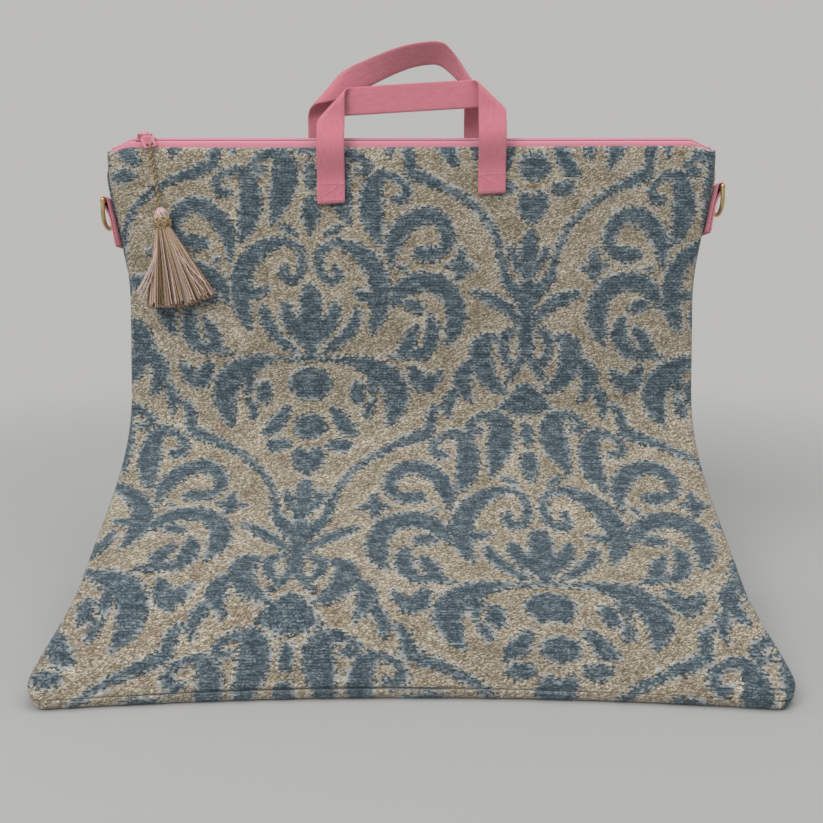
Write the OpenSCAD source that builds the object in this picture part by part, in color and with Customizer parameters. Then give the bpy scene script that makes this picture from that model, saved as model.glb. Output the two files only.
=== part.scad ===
// Knitting project bag: a soft zip-top bag that stands on a stiffened base and slumps in front,
// with two webbing handles, a zip with a tassel on its pull, and a ring tab on each side.
// Units are millimetres. The origin is the middle of the base on the surface it stands on,
// X runs along the zip to the right, Y runs from front to back and Z is up.

/* [Bag] */
// Width of the front and back panels
bag_w = 445; // [400:1:500]
// Height of the front panel's top edge
bag_h = 324; // [290:1:360]
// How much higher the back panel's top edge is
back_rise = 8; // [6:0.5:10]
// Depth of the base from front to back
base_d = 197; // [170:1:220]
// Thickness of the stiffened base
base_t = 6; // [4:0.5:9]
// Thickness of a padded fabric panel
wall = 3; // [2:0.25:4]
// Lean of the back panel from upright, in degrees
back_lean = 7.4; // [5:0.1:10]
// Depth between the outer faces at the zip
top_d = 20; // [19:0.5:24]
// Height where the slumped front turns upright
knee_h = 150; // [130:1:170]
// Depth between the outer faces at that height
knee_d = 26; // [24:0.5:36]
// Angle at which the front rises from the base, in degrees
lip_angle = 48; // [40:1:56]
// How far that angle is kept
lip_reach = 90; // [75:1:100]
// How far the front stays upright below the knee
knee_reach = 70; // [55:1:85]
// How far each side draws in at the waist
waist_in = 14; // [6:1:20]
// Height over which the base corners draw in
corner_rise = 44; // [30:1:60]
// Height over which the shoulders widen to the zip
shoulder_drop = 110; // [80:1:130]
// How far the middle of the front base edge sits back
base_bow = 15; // [0:1:20]
// How far the front's side edges roll back
edge_roll = 6; // [0:0.5:8]
// Drop of the zip's two ends
end_drop = 7; // [2:0.5:9]

/* [Side gussets] */
// Thickness of a gusset, seam allowance included
gusset_t = 4; // [3:0.25:5]
// How far a gusset folds in at the waist
side_fold = 12; // [4:1:14]
// How far a gusset bulges at its ring tab
side_bulge = 2; // [0:0.25:3]
// Gap left for a sewn seam
seam_gap = 0.3; // [0.2:0.05:0.5]

/* [Lining] */
// Thickness of the lining
lining_t = 1.2; // [0.8:0.1:1.6]
// Gap between the panels and the lining
lining_gap = 0.9; // [0.6:0.1:1.2]
// Ease between the gussets and the lining
lining_ease = 2.5; // [2:0.25:3]

/* [Webbing] */
// Width of the webbing
web_w = 20; // [18:0.5:20]
// Thickness of the webbing
web_t = 1.4; // [1:0.1:1.8]

/* [Handles] */
// Distance between the legs of one handle
leg_gap = 117; // [100:1:135]
// Height of the front handle's cross strap above the zip
front_bar_h = 30; // [27:1:38]
// Height of the back handle's cross strap above the zip
back_bar_h = 40; // [36:1:48]
// Drop from the panel's top edge to the end of a leg
tack_drop = 34; // [30:1:40]
// Height of the folded, stitched end
tack_h = 14; // [10:1:16]
// Radius of the front handle's corner curl
front_curl = 3.5; // [3:0.25:5]
// Radius of the back handle's corner curl
back_curl = 6.75; // [6:0.25:8]
// How far the legs bow off the panel at the zip
leg_bow = 6; // [5:0.25:8]
// Rise of the back handle's arch
back_arch = 24; // [10:1:28]
// Roll of the back handle's arch, in degrees
back_roll = 46; // [0:1:55]
// Sideways place of the back handle
back_shift = -9; // [-12:1:12]
// Rise of a handle per millimetre to the right
handle_tilt = 0.06; // [-0.08:0.01:0.08]

/* [Zip] */
// Height of the zip above the middle of the panel edges
ridge_h = 3; // [2.5:0.25:4]
// Forward tilt of the zip, in degrees
zip_tilt = 25; // [20:1:28]
// Thickness of the zip tape
tape_t = 0.9; // [0.6:0.05:1.1]
// Half width of the zip's flat middle
flat_half = 4.8; // [4.6:0.1:5.4]
// Gap between the two tapes
zip_gap = 1.6; // [1.4:0.1:1.8]
// Radius of a nylon coil
coil_r = 0.9; // [0.8:0.05:1]
// How far the tape is tucked behind the panel
tape_tuck = 4; // [3:0.25:5]
// Distance of the closed slider from the side of the bag
slider_in = 26.5; // [25:0.5:40]
// Clearance round the slider and in its hinge
run_gap = 0.3; // [0.25:0.05:0.4]

/* [Slider and pull] */
// Length of the slider
slider_l = 14; // [12:0.5:16]
// Thickness of the slider's plates
plate_t = 1.3; // [1:0.1:1.5]
// Radius of the crown bar and its posts
crown_r = 0.9; // [0.7:0.05:1]
// Height of the crown bar above the top plate
crown_h = 2.7; // [2.6:0.1:3.2]
// Length of the pull from its hinge to its tip
pull_l = 17; // [16:0.25:19]
// Width of the pull
pull_w = 9; // [8:0.25:10]
// Thickness of the pull
pull_t = 1.5; // [1.2:0.1:1.7]
// Wall of the curl round the crown bar
knuckle_t = 0.7; // [0.5:0.05:0.8]
// Angle of the hanging pull below the zip, in degrees
pull_drop = 15; // [12:1:17]
// Sideways turn of the hanging pull, in degrees
pull_turn = 25; // [0:1:28]

/* [Ring tabs] */
// Drop from the panel's top edge to the left ring's bar
left_drop = 38; // [30:1:45]
// Drop from the panel's top edge to the right ring's bar
right_drop = 28; // [26:1:40]
// Length of a tab below the ring's bar
tab_l = 34; // [28:1:40]
// Radius of the ring's wire
wire_r = 1.5; // [1.2:0.1:1.75]
// Straight length of the ring's sides
ring_side = 7; // [5:0.5:10]
// Clearance of the ring in its tab
ring_gap = 0.3; // [0.2:0.05:0.5]
// Angle of the hanging ring off its tab, in degrees
ring_rest = 11; // [10:1:16]

/* [Tassel] */
// Radius of the thread in the loop on the pull
loop_r = 0.8; // [0.6:0.05:0.9]
// Clearance of that loop on the pull's bar
loop_gap = 0.5; // [0.4:0.05:0.6]
// Radius of the tassel's cord
cord_r = 1.1; // [0.8:0.05:1.2]
// Height of the tassel's head
head_h = 7; // [6:0.5:9]
// Radius of the tassel's head
head_r = 3.6; // [3:0.1:4]
// Height of the braided knot
knot_h = 8; // [6:0.5:10]
// Radius of the braided knot
knot_r = 4.6; // [4:0.1:4.8]
// Length of the thread skirt
skirt_l = 57; // [45:1:65]
// Width of the skirt at its hem
skirt_w = 46; // [36:1:52]
// Sideways lean of the hanging tassel, in degrees
tassel_lean = 9; // [0:0.5:12]

/* [Hidden] */
$fn = 32;

// Colours of the bag's materials
damask = "#7b8a90";
lining_pink = "#d9b3b0";
webbing_pink = "#d87f8c";
zip_pink = "#ee8f9f";
brass = "#c9ac62";
thread_gold = "#b08f58";
thread_rose = "#cda594";

// Counts of facets along the panels
across_n = 15;
up_n = 16;
gusset_n = 6;
tiny = 0.002;

// Small helpers for shapes
function smooth(t) = let (c = max(0, min(1, t))) c * c * (3 - 2 * c);
function mix(a, b, t) = a + (b - a) * t;
function unit(p) = p / norm(p);
function spread(a, b, n) = [for (i = [0:n]) mix(a, b, i / n)];

// Back panel: a straight leaning line from the base's rear edge to its own top edge
back_top = bag_h + back_rise;
function back_y(z) = base_d / 2 + (z - base_t) * tan(back_lean);
function back_z(z) = base_t + (z - base_t) * (back_top - base_t) / (bag_h - base_t);

// Front panel: a curve from the base's front edge to the knee, then a straight line to the top edge
lip = [-base_d / 2, base_t];
knee = [back_y(knee_h) - knee_d, knee_h];
front_top = [back_y(back_top) - top_d, bag_h];
upright = unit(front_top - knee);
knee_v = 0.55;
lip_pull = lip + lip_reach * [cos(lip_angle), sin(lip_angle)];
knee_pull = knee - knee_reach * upright;
function front_curve(t) =
    pow(1 - t, 3) * lip + 3 * t * pow(1 - t, 2) * lip_pull
    + 3 * t * t * (1 - t) * knee_pull + pow(t, 3) * knee;
function front_yz(v) = v < knee_v
    ? front_curve(v / knee_v)
    : mix(knee, front_top, (v - knee_v) / (1 - knee_v));
// Level run of the front's thickness: how much wider the wall is when it is cut level
function front_run(v) =
    let (d = unit(front_yz(min(1, v + tiny)) - front_yz(max(0, v - tiny)))) 1 / d.y;
function front_line(z) = front_top.x + (z - bag_h) * upright.x / upright.y;

// Half width of the panels, and how their edges roll, bow, and drop at the zip's ends
function half_w(z) = bag_w / 2
    - waist_in * smooth((z - base_t) / corner_rise) * smooth((bag_h - z) / shoulder_drop);
function bow(z) = base_bow * (1 - smooth((z - base_t) / corner_rise));
function roll(z) =
    edge_roll * smooth((z - base_t) / corner_rise) * smooth((bag_h - z) / shoulder_drop);
// Clear length of level zip beyond the closed slider
level_end = 1;
slider_x = bag_w / 2 - slider_in;
drop_l = slider_in - slider_l / 2 - level_end;
function end_fall(x) = end_drop * smooth((abs(x) - bag_w / 2 + drop_l) / drop_l);
function top_part(z) = smooth((z - bag_h + shoulder_drop / 2) / (shoulder_drop / 2));

// A point of a panel, u from -1 to 1 across and v from 0 at the base to 1 at the zip
function place_x(i, z) =
    let (inner = half_w(z) - gusset_t)
    i == 0 ? -half_w(z) : i == across_n ? half_w(z)
    : inner * sin(90 * (2 * (i - 1) / (across_n - 2) - 1));
function front_at(x, v, inset) =
    let (p = front_yz(v), u = x / half_w(p.y))
    [x, p.x + bow(p.y) * (1 - u * u) + roll(p.y) * pow(u, 8) + inset * front_run(v),
        p.y - end_fall(x) * top_part(p.y)];
function back_at(x, v, inset) =
    let (z = front_yz(v).y, u = x / half_w(z))
    [x, back_y(back_z(z)) - roll(z) / 2 * pow(u, 8) - inset / cos(back_lean),
        back_z(z) - end_fall(x) * top_part(z)];

// A closed sheet between two grids of points: rows go up, and columns go to the viewer's right
function quad(a, b, c, d) = [[a, b, c], [a, c, d]];
module sheet(outer, inner) {
    rows = len(outer) - 1;
    cols = len(outer[0]) - 1;
    skip = (rows + 1) * (cols + 1);
    points = [for (g = [outer, inner]) for (row = g) for (p = row) p];
    function at(i, j, k) = k * skip + j * (cols + 1) + i;
    faces = [
        for (j = [0:rows - 1]) for (i = [0:cols - 1])
            each quad(at(i, j, 0), at(i, j + 1, 0), at(i + 1, j + 1, 0), at(i + 1, j, 0)),
        for (j = [0:rows - 1]) for (i = [0:cols - 1])
            each quad(at(i, j, 1), at(i + 1, j, 1), at(i + 1, j + 1, 1), at(i, j + 1, 1)),
        for (i = [0:cols - 1]) each quad(at(i, 0, 0), at(i + 1, 0, 0), at(i + 1, 0, 1), at(i, 0, 1)),
        for (i = [0:cols - 1])
            each quad(at(i + 1, rows, 0), at(i, rows, 0), at(i, rows, 1), at(i + 1, rows, 1)),
        for (j = [0:rows - 1]) each quad(at(0, j + 1, 0), at(0, j, 0), at(0, j, 1), at(0, j + 1, 1)),
        for (j = [0:rows - 1])
            each quad(at(cols, j, 0), at(cols, j + 1, 0), at(cols, j + 1, 1), at(cols, j, 1))];
    polyhedron(points, faces);
}

// A closed tube through rings of points, each ring clockwise as seen from its start
module tube(rings) {
    n = len(rings[0]);
    last = len(rings) - 1;
    points = [for (r = rings) for (p = r) p];
    faces = [
        for (j = [0:last - 1]) for (i = [0:n - 1])
            each quad(j * n + i, j * n + (i + 1) % n, (j + 1) * n + (i + 1) % n, (j + 1) * n + i),
        [for (i = [n - 1:-1:0]) i],
        [for (i = [0:n - 1]) last * n + i]];
    polyhedron(points, faces);
}

levels = spread(0, 1, up_n);

module front_panel() {
    function grid(inset) = [for (v = levels)
        [for (i = [0:across_n]) front_at(place_x(i, front_yz(v).y), v, inset)]];
    color(damask) sheet(grid(0), grid(wall));
}

module back_panel() {
    function grid(inset) = [for (v = levels)
        [for (i = [across_n:-1:0]) back_at(place_x(i, front_yz(v).y), v, inset)]];
    color(damask) sheet(grid(0), grid(wall));
}

// Outline of the base: the front edge bowed in, the other edges straight
module base_panel() {
    z = base_t;
    front = [for (i = [0:across_n]) let (p = front_at(place_x(i, z), 0, 0)) [p.x, p.y]];
    back = [for (i = [across_n, 0]) let (p = back_at(place_x(i, z), 0, 0)) [p.x, p.y]];
    color(damask) linear_extrude(base_t) polygon(concat(front, back));
}

// A gusset spans between the inner faces of the panels and folds in at the waist
tab_z = bag_h - (left_drop + right_drop) / 2 - tab_l / 2;
function fold(z) = -side_fold * smooth((z - base_t) / corner_rise)
    * (1 - smooth((z - knee_h) / (tab_z - knee_h)));
function bulge(z) = side_bulge * smooth((z - knee_h) / (tab_z - knee_h))
    * smooth((bag_h - z) / (4 * tape_tuck));
function swell(t, z) = fold(z) * (1 - pow(2 * t - 1, 2)) + bulge(z) * (1 - pow(2 * t - 1, 4));
gusset_low = tape_tuck + 2 * seam_gap;
function gusset_at(t, v, deep) =
    let (z = front_yz(v).y, x = half_w(z) - deep,
        a = front_at(x, v, wall) + [0, seam_gap, 0], b = back_at(x, v, wall) - [0, seam_gap, 0],
        p = mix(a, b, t))
    let (low = gusset_low * top_part(z), run = mix(upright.x / upright.y, tan(back_lean), t))
    [p.x + swell(t, z), p.y - low * run, p.z - low];

module right_gusset() {
    function grid(deep) = [for (v = levels) [for (i = [0:gusset_n]) gusset_at(i / gusset_n, v, deep)]];
    color(damask) sheet(grid(0), grid(gusset_t));
}

module left_gusset() {
    mirror([1, 0, 0]) right_gusset();
}

// The lining is an open-topped bag of its own that follows the panels at a small gap
lining_v = 1 - (tape_tuck + ridge_h + seam_gap) / (bag_h - knee_h) * (1 - knee_v);
lining_levels = [for (v = levels) v == 1 ? lining_v : v];
function lining_ring(v, inset, floor) =
    let (z = front_yz(v).y, deep = gusset_t + inset - wall + lining_ease,
        side = [for (t = spread(0, 1, gusset_n))
            let (a = front_at(half_w(z) - deep, v, inset), b = back_at(half_w(z) - deep, v, inset),
                a0 = front_at(half_w(z), v, wall), b0 = back_at(half_w(z), v, wall), p = mix(a, b, t),
                s = (p.y - a0.y) / (b0.y - a0.y))
            [p.x + swell(s, z), p.y, p.z]],
        narrow = side[0].x / (half_w(z) - gusset_t),
        front = [for (i = [2:across_n - 2]) front_at(place_x(i, z) * narrow, v, inset)],
        back = [for (i = [across_n - 2:-1:2]) back_at(place_x(i, z) * narrow, v, inset)],
        other = [for (i = [gusset_n:-1:0]) [-side[i].x, side[i].y, side[i].z]],
        ring = concat(front, side, back, other))
    [for (p = ring) [p.x, p.y, p.z + floor]];

module lining() {
    out = wall + lining_gap;
    outer = [for (v = lining_levels) lining_ring(v, out, v == 0 ? lining_gap : 0)];
    inner = [for (v = lining_levels) lining_ring(v, out + lining_t, v == 0 ? lining_gap + lining_t : 0)];
    n = len(outer[0]);
    skip = n * (up_n + 1);
    middles = [[0, 0, outer[0][0].z], [0, 0, inner[0][0].z]];
    points = concat([for (g = [outer, inner]) for (r = g) for (p = r) p], middles);
    function at(i, j, k) = k * skip + j * n + i % n;
    faces = [
        for (j = [0:up_n - 1]) for (i = [0:n - 1])
            each quad(at(i, j, 0), at(i, j + 1, 0), at(i + 1, j + 1, 0), at(i + 1, j, 0)),
        for (j = [0:up_n - 1]) for (i = [0:n - 1])
            each quad(at(i, j, 1), at(i + 1, j, 1), at(i + 1, j + 1, 1), at(i, j + 1, 1)),
        for (i = [0:n - 1])
            each quad(at(i + 1, up_n, 0), at(i, up_n, 0), at(i, up_n, 1), at(i + 1, up_n, 1)),
        for (i = [0:n - 1]) [at(i, 0, 0), at(i + 1, 0, 0), 2 * skip],
        for (i = [0:n - 1]) [at(i + 1, 0, 1), at(i, 0, 1), 2 * skip + 1]];
    color(lining_pink) polyhedron(points, faces);
}

// Frame of the zip: the middle of its flat top, tilted forward
ridge = [(front_top.x + back_y(back_top)) / 2, (bag_h + back_top) / 2 + ridge_h];
function zip_yz(p) = ridge
    + [p.x * cos(zip_tilt) - p.y * sin(zip_tilt), p.x * sin(zip_tilt) + p.y * cos(zip_tilt)];
module on_zip(x) {
    translate([x, ridge.x, ridge.y]) rotate([zip_tilt, 0, 0]) children();
}
// Places along the zip: straight over the slider's travel, dropping at both ends
zip_half = bag_w / 2 - level_end;
end_steps = spread(zip_half, bag_w / 2 - drop_l, 4);
zip_steps = concat([for (x = end_steps) -x], [for (i = [4:-1:0]) end_steps[i]]);
function along_zip(section) = [for (x = zip_steps) [for (p = section) [x, p.x, p.y - end_fall(x)]]];

// A tape lies flat beside the coil, then bends down and is tucked behind its panel
front_foot = [front_line(bag_h - tape_tuck) + wall * front_run(1) + seam_gap, bag_h - tape_tuck];
back_foot = [back_y(back_top - tape_tuck) - wall / cos(back_lean) - seam_gap, back_top - tape_tuck];
module zip_tape_front() {
    section = [zip_yz([-zip_gap / 2, 0]), zip_yz([-flat_half, 0]), front_foot, front_foot + [tape_t, 0],
        zip_yz([-flat_half + tape_t / 2, -tape_t]), zip_yz([-zip_gap / 2, -tape_t])];
    color(zip_pink) tube(along_zip(section));
}
module zip_tape_back() {
    section = [zip_yz([zip_gap / 2, -tape_t]), zip_yz([flat_half - tape_t / 2, -tape_t]),
        back_foot - [tape_t, 0], back_foot, zip_yz([flat_half, 0]), zip_yz([zip_gap / 2, 0])];
    color(zip_pink) tube(along_zip(section));
}

// A coil is sewn under each tape's inner edge
coil_gap = 0.1;
coil_y = zip_gap / 2 + coil_r + coil_gap;
coil_z = -tape_t - coil_r - coil_gap;
module coil(side) {
    section = [for (a = [0:45:315]) zip_yz([side * coil_y + coil_r * cos(a), coil_z + coil_r * sin(a)])];
    color(zip_pink) tube(along_zip(section));
}
module zip_coil_front() { coil(-1); }
module zip_coil_back() { coil(1); }

// Slider: two plates joined by a post that runs between the tapes, with a crown for the pull
top_low = run_gap;
crown_z = top_low + plate_t + crown_h;
bottom_high = coil_z - coil_r - run_gap;
slider_half = flat_half - 1.4;
tail_r = 1.5;
nose_r = 1.2;
nose_in = 0.9;
rim_t = 0.5;
post_t = zip_gap - 2 * run_gap;
crown_half = slider_l / 2 - 2.4;
module slider_outline() {
    hull() {
        for (s = [-1, 1]) {
            translate([-slider_l / 2 + tail_r, s * (slider_half - tail_r)]) circle(tail_r);
            translate([slider_l / 2 - nose_r, s * (slider_half - nose_in - nose_r)]) circle(nose_r);
        }
    }
}
module zip_slider() {
    color(zip_pink) on_zip(-slider_x) {
        translate([0, 0, top_low]) linear_extrude(plate_t) slider_outline();
        translate([0, 0, bottom_high - plate_t]) linear_extrude(plate_t) slider_outline();
        translate([tail_r / 2 - slider_l / 2, -post_t / 2, bottom_high - plate_t / 2])
            cube([slider_l / 4, post_t, top_low - bottom_high + plate_t]);
        for (s = [-1, 1])
            translate([-slider_l / 4, s * (slider_half - rim_t / 2) - rim_t / 2, bottom_high - plate_t])
                cube([slider_l / 3, rim_t, -tape_t - run_gap - bottom_high + plate_t]);
        translate([-crown_half, 0, crown_z]) rotate([0, 90, 0]) cylinder(r = crown_r, h = 2 * crown_half);
        for (s = [-1, 1]) translate([s * crown_half, 0, 0]) {
            translate([0, 0, top_low + plate_t / 2])
                cylinder(r = crown_r, h = crown_z - top_low - plate_t / 2);
            translate([0, 0, crown_z]) sphere(crown_r);
        }
    }
}

// Pull: a ribbed plate curled round the crown bar, ending in a round bar for the cord's loop
knuckle_in = crown_r + run_gap;
knuckle_out = knuckle_in + knuckle_t;
side_play = 1;
knuckle_l = 2 * (crown_half - crown_r - run_gap - side_play);
bar_r = pull_t / 2;
hang_l = pull_l - bar_r;
loop_ring = bar_r + loop_gap + loop_r;
window_rim = 1.7;
window_w = pull_w - 2 * window_rim;
window_top = hang_l - loop_ring - loop_r - loop_gap;
neck_in = 0.3;
neck_w = knuckle_l - 2 * neck_in;
shoulder_l = 5;
module pull_outline() {
    half = pull_w / 2;
    polygon([[-neck_w / 2, 0], [neck_w / 2, 0], [neck_w / 2, shoulder_l / 2], [half, shoulder_l],
        [half, hang_l], [-half, hang_l], [-half, shoulder_l], [-neck_w / 2, shoulder_l / 2]]);
}
module on_pull() {
    on_zip(-slider_x) translate([0, 0, crown_z]) rotate([pull_drop, 0, 0]) children();
}
module zip_pull() {
    rib_n = 5;
    rib_w = 0.6;
    rib_deep = 0.3;
    rib_end = 0.8;
    ribs = spread(shoulder_l + rib_end, window_top - rib_end, rib_n - 1);
    color(zip_pink) on_pull() difference() {
        union() {
            rotate([0, 90, 0]) cylinder(r = knuckle_out, h = knuckle_l, center = true);
            rotate([0, 0, 180 + pull_turn]) {
                translate([0, 0, -pull_t / 2]) difference() {
                    linear_extrude(pull_t) pull_outline();
                    translate([-window_w / 2, window_top, -pull_t / 2])
                        cube([window_w, pull_l, 2 * pull_t]);
                    for (y = ribs)
                        translate([-window_w / 2, y - rib_w / 2, pull_t - rib_deep])
                            cube([window_w, rib_w, pull_t]);
                }
                translate([0, hang_l, 0]) rotate([0, 90, 0]) cylinder(r = bar_r, h = pull_w, center = true);
            }
        }
        rotate([0, 90, 0]) cylinder(r = knuckle_in, h = knuckle_l + 2 * knuckle_out, center = true);
    }
}

// A handle is one strap: a turned-under end, a leg, a soft corner fold, the cross strap and back down
turn_r = (web_t + seam_gap) / 2;
stand_off = seam_gap + web_t / 2 + 2 * turn_r;
leg_low = bag_h - tack_drop;
leg_x = leg_gap / 2;
function corner_h(bar_h, curl) = ridge.y + bar_h - PI * curl / sqrt(2);
function half_l(bar_h, curl) = corner_h(bar_h, curl) - leg_low + leg_x + PI * curl / sqrt(2);
// Face of the leg at height z: it lies on the panel, then bows off it where the pull passes
function leg_face(z, side, corner) =
    let (span = corner - leg_low - tack_h, t = max(0, min(1, (z - leg_low - tack_h) / span)),
        bowed = side > 0 ? leg_bow : leg_bow / 3)
    (side > 0 ? front_line(z) : back_y(z)) - side * (stand_off + bowed * pow(sin(180 * t), 2));
// Middle of the strap at s along its left half and w across it
function strap_left(s, w, side, bar_h, curl, arch, roll_by) =
    let (corner = corner_h(bar_h, curl), turn_l = PI * turn_r)
    s < -turn_l ? let (z = leg_low - s - turn_l)
        [w - leg_x, leg_face(z, side, corner) + side * 2 * turn_r, z]
    : s < 0 ? let (a = -s / turn_r * 180 / PI, face = leg_face(leg_low, side, corner))
        [w - leg_x, face + side * turn_r * (1 - cos(a)), leg_low - turn_r * sin(a)]
    : let (h = leg_low + s - corner, q = (h - w) / sqrt(2), p = (h + w) / sqrt(2),
        a = max(0, min(180, q / curl * 180 / PI)),
        out = q < 0 ? q : q < PI * curl ? curl * sin(a) : PI * curl - q,
        x = (p - out) / sqrt(2) - leg_x, z = corner + (p + out) / sqrt(2), deep = curl * (1 - cos(a)),
        peak = arch > 0 ? arch * (1 - smooth(abs(x) / leg_x)) * a / 180 : 0,
        tip = roll_by * (1 - smooth(abs(x) / leg_x)) * a / 180)
    [x, leg_face(z, side, corner) + side * (deep + w * sin(tip)), z + peak - w * (1 - cos(tip))];
function strap_mid(s, w, side, bar_h, curl, arch, roll_by, total) =
    s <= total / 2 ? strap_left(s, w, side, bar_h, curl, arch, roll_by)
    : let (p = strap_left(total - s, w, side, bar_h, curl, arch, roll_by)) [-p.x, p.y, p.z];
module strap(side, bar_h, curl, arch, roll_by, shift) {
    total = 2 * half_l(bar_h, curl);
    low = -PI * turn_r - tack_h;
    fold_at = corner_h(bar_h, curl) - leg_low;
    fold_in = fold_at - web_w / 2;
    fold_end = fold_at + web_w / 2 + PI * curl * sqrt(2);
    panel_run = side > 0 ? upright.x / upright.y : tan(back_lean);
    step = 3;
    feel = 0.05;
    left = concat([low], spread(-PI * turn_r, 0, 4), spread(tack_h, fold_in, 4),
        spread(fold_in + step, fold_end, 12), spread(fold_end + 2 * step, total / 2, 3));
    steps = concat(left, [for (i = [len(left) - 2:-1:0]) total - left[i]]);
    widths = spread(-web_w / 2, web_w / 2, 4);
    function mid(s, w) = strap_mid(s, w, side, bar_h, curl, arch, roll_by, total);
    function face(s, w) =
        let (along = mid(s + feel, w) - mid(s - feel, w), over = mid(s, w + feel) - mid(s, w - feel))
        unit(cross(along, over));
    function grid(k) = [for (s = steps) [for (w = widths)
        let (p = mid(s, w) + k * web_t / 2 * face(s, w), rise = handle_tilt * p.x)
        [p.x + shift, p.y + rise * panel_run, p.z + rise]]];
    color(webbing_pink) sheet(grid(-1), grid(1));
}
module front_handle() { strap(1, front_bar_h, front_curl, 0, 0, 0); }
module back_handle() { strap(-1, back_bar_h, back_curl, back_arch, back_roll, back_shift); }

// Ring tabs: webbing folded over the ring's bar, both plies sewn to the gusset
loop_in = wire_r + ring_gap;
loop_out = loop_in + web_t;
function mid_y(z) = mix(front_line(z), back_y(z), 0.5);
function side_slope(z) = let (d = shoulder_drop / 10) atan((half_w(z) - half_w(z - d)) / d);
function tab_lean(z) = let (d = shoulder_drop / 10) atan((mid_y(z) - mid_y(z - d)) / d);
function bar_x(z) = half_w(z) + side_bulge + 2 * seam_gap + loop_out;
module on_tab(drop) {
    z = bag_h - drop;
    translate([bar_x(z), mid_y(z), z]) rotate([-tab_lean(z), side_slope(z), 0]) children();
}
module ring_tab(drop) {
    merge_l = 9;
    function arc(r) = [for (a = [0:15:180]) r * [cos(a), sin(a)]];
    color(webbing_pink) on_tab(drop) rotate([90, 0, 0]) linear_extrude(web_w, center = true) difference() {
        polygon(concat(arc(loop_out), [[-loop_out, -tab_l], [web_t - loop_in, -tab_l],
            [web_t - loop_in, -merge_l]]));
        polygon(concat(arc(loop_in), [[-loop_in, -merge_l]]));
    }
}
module right_ring_tab() { ring_tab(right_drop); }
module left_ring_tab() { mirror([1, 0, 0]) ring_tab(left_drop); }

// D-ring: a straight bar in the tab, two sides and a half-round bow
ring_half = web_w / 2 + 2 * ring_gap + wire_r;
module d_ring(drop) {
    color(brass) on_tab(drop) rotate([0, -ring_rest, 0]) {
        rotate([90, 0, 0]) cylinder(r = wire_r, h = 2 * ring_half, center = true);
        for (s = [-1, 1]) translate([0, s * ring_half, 0]) {
            sphere(wire_r);
            translate([0, 0, -ring_side]) cylinder(r = wire_r, h = ring_side);
        }
        translate([0, 0, -ring_side]) rotate([0, 90, 0]) rotate([0, 0, -90])
            rotate_extrude(angle = 180) translate([ring_half, 0]) circle(wire_r);
    }
}
module right_d_ring() { d_ring(right_drop); }
module left_d_ring() { mirror([1, 0, 0]) d_ring(left_drop); }

// Loop of thread round the pull's bar
hang_x = hang_l * sin(pull_turn) - slider_x;
hang_out = hang_l * cos(pull_turn);
hang_yz = zip_yz([-hang_out * cos(pull_drop), crown_z - hang_out * sin(pull_drop)]);
hang = [hang_x, hang_yz.x, hang_yz.y];
module tassel_loop() {
    color(thread_gold) translate(hang) rotate([0, 90, 0])
        rotate_extrude() translate([loop_ring, 0]) circle(loop_r);
}

// Tassel cord: from the loop down along the panel to the tassel's head, as steps from the loop's middle
cord_path = [[0, 0, -3.5], [1, -1, -9.5], [2, -2.4, -15.5], [3, -3.8, -21.5], [4, -5.2, -27.5],
    [5, -6.6, -33.5], [6, -8.2, -39.5], [7, -9.4, -43.5]];
cord_points = [for (p = cord_path) hang + p];
module tassel_cord() {
    last = len(cord_points) - 1;
    rings = [for (k = [0:last])
        let (d = unit(cord_points[min(last, k + 1)] - cord_points[max(0, k - 1)]),
            e = unit(cross(d, [0, 1, 0])), f = cross(d, e))
        [for (a = [0:45:315]) cord_points[k] + cord_r * (cos(a) * e - sin(a) * f)]];
    color(thread_gold) tube(rings);
}
tassel_top = cord_points[len(cord_points) - 1];

// The tassel hangs along the panel from its top point
panel_lean = atan(upright.x / upright.y);
module on_tassel() {
    translate(tassel_top) rotate([-panel_lean, 0, 0]) rotate([0, -tassel_lean, 0]) children();
}
module tassel_head() {
    color(thread_rose) on_tassel() rotate_extrude() polygon([[0, -seam_gap], [head_r * 0.5, -2 * seam_gap],
        [head_r * 0.92, -head_h * 0.32], [head_r, -head_h * 0.6], [head_r * 0.85, -head_h], [0, -head_h]]);
}
module tassel_knot() {
    groove_r = 1.1;
    groove_deep = 0.5;
    color(thread_gold) on_tassel() translate([0, 0, -head_h - seam_gap]) rotate_extrude() difference() {
        translate([0, -knot_h]) square([knot_r, knot_h]);
        for (k = [0:2]) translate([knot_r + groove_r - groove_deep, -knot_h * k / 2]) circle(groove_r);
    }
}
// Skirt: a flattened fan of thread, fluted all round
module tassel_skirt() {
    flutes = 15;
    flute_deep = 0.05;
    turn_n = 60;
    front_full = 1.7;
    back_flat = 0.92;
    fan = spread(0, 1, 6);
    rings = [for (t = fan) [for (k = [turn_n - 1:-1:0])
        let (a = 360 * k / turn_n, flute = 1 + flute_deep * cos(a * flutes) * t,
            wide = mix(knot_r, skirt_w / 2, t), deep = sin(a) < 0 ? mix(1, front_full, t) : back_flat)
        [wide * cos(a) * flute, knot_r * deep * sin(a) * flute, -skirt_l * t]]];
    color(thread_rose) on_tassel() translate([0, 0, -head_h - knot_h - 2 * seam_gap]) tube(rings);
}

front_panel();
back_panel();
base_panel();
left_gusset();
right_gusset();
lining();
zip_tape_front();
zip_tape_back();
zip_coil_front();
zip_coil_back();
zip_slider();
zip_pull();
front_handle();
back_handle();
left_ring_tab();
right_ring_tab();
left_d_ring();
right_d_ring();
tassel_loop();
tassel_cord();
tassel_head();
tassel_knot();
tassel_skirt();
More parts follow.
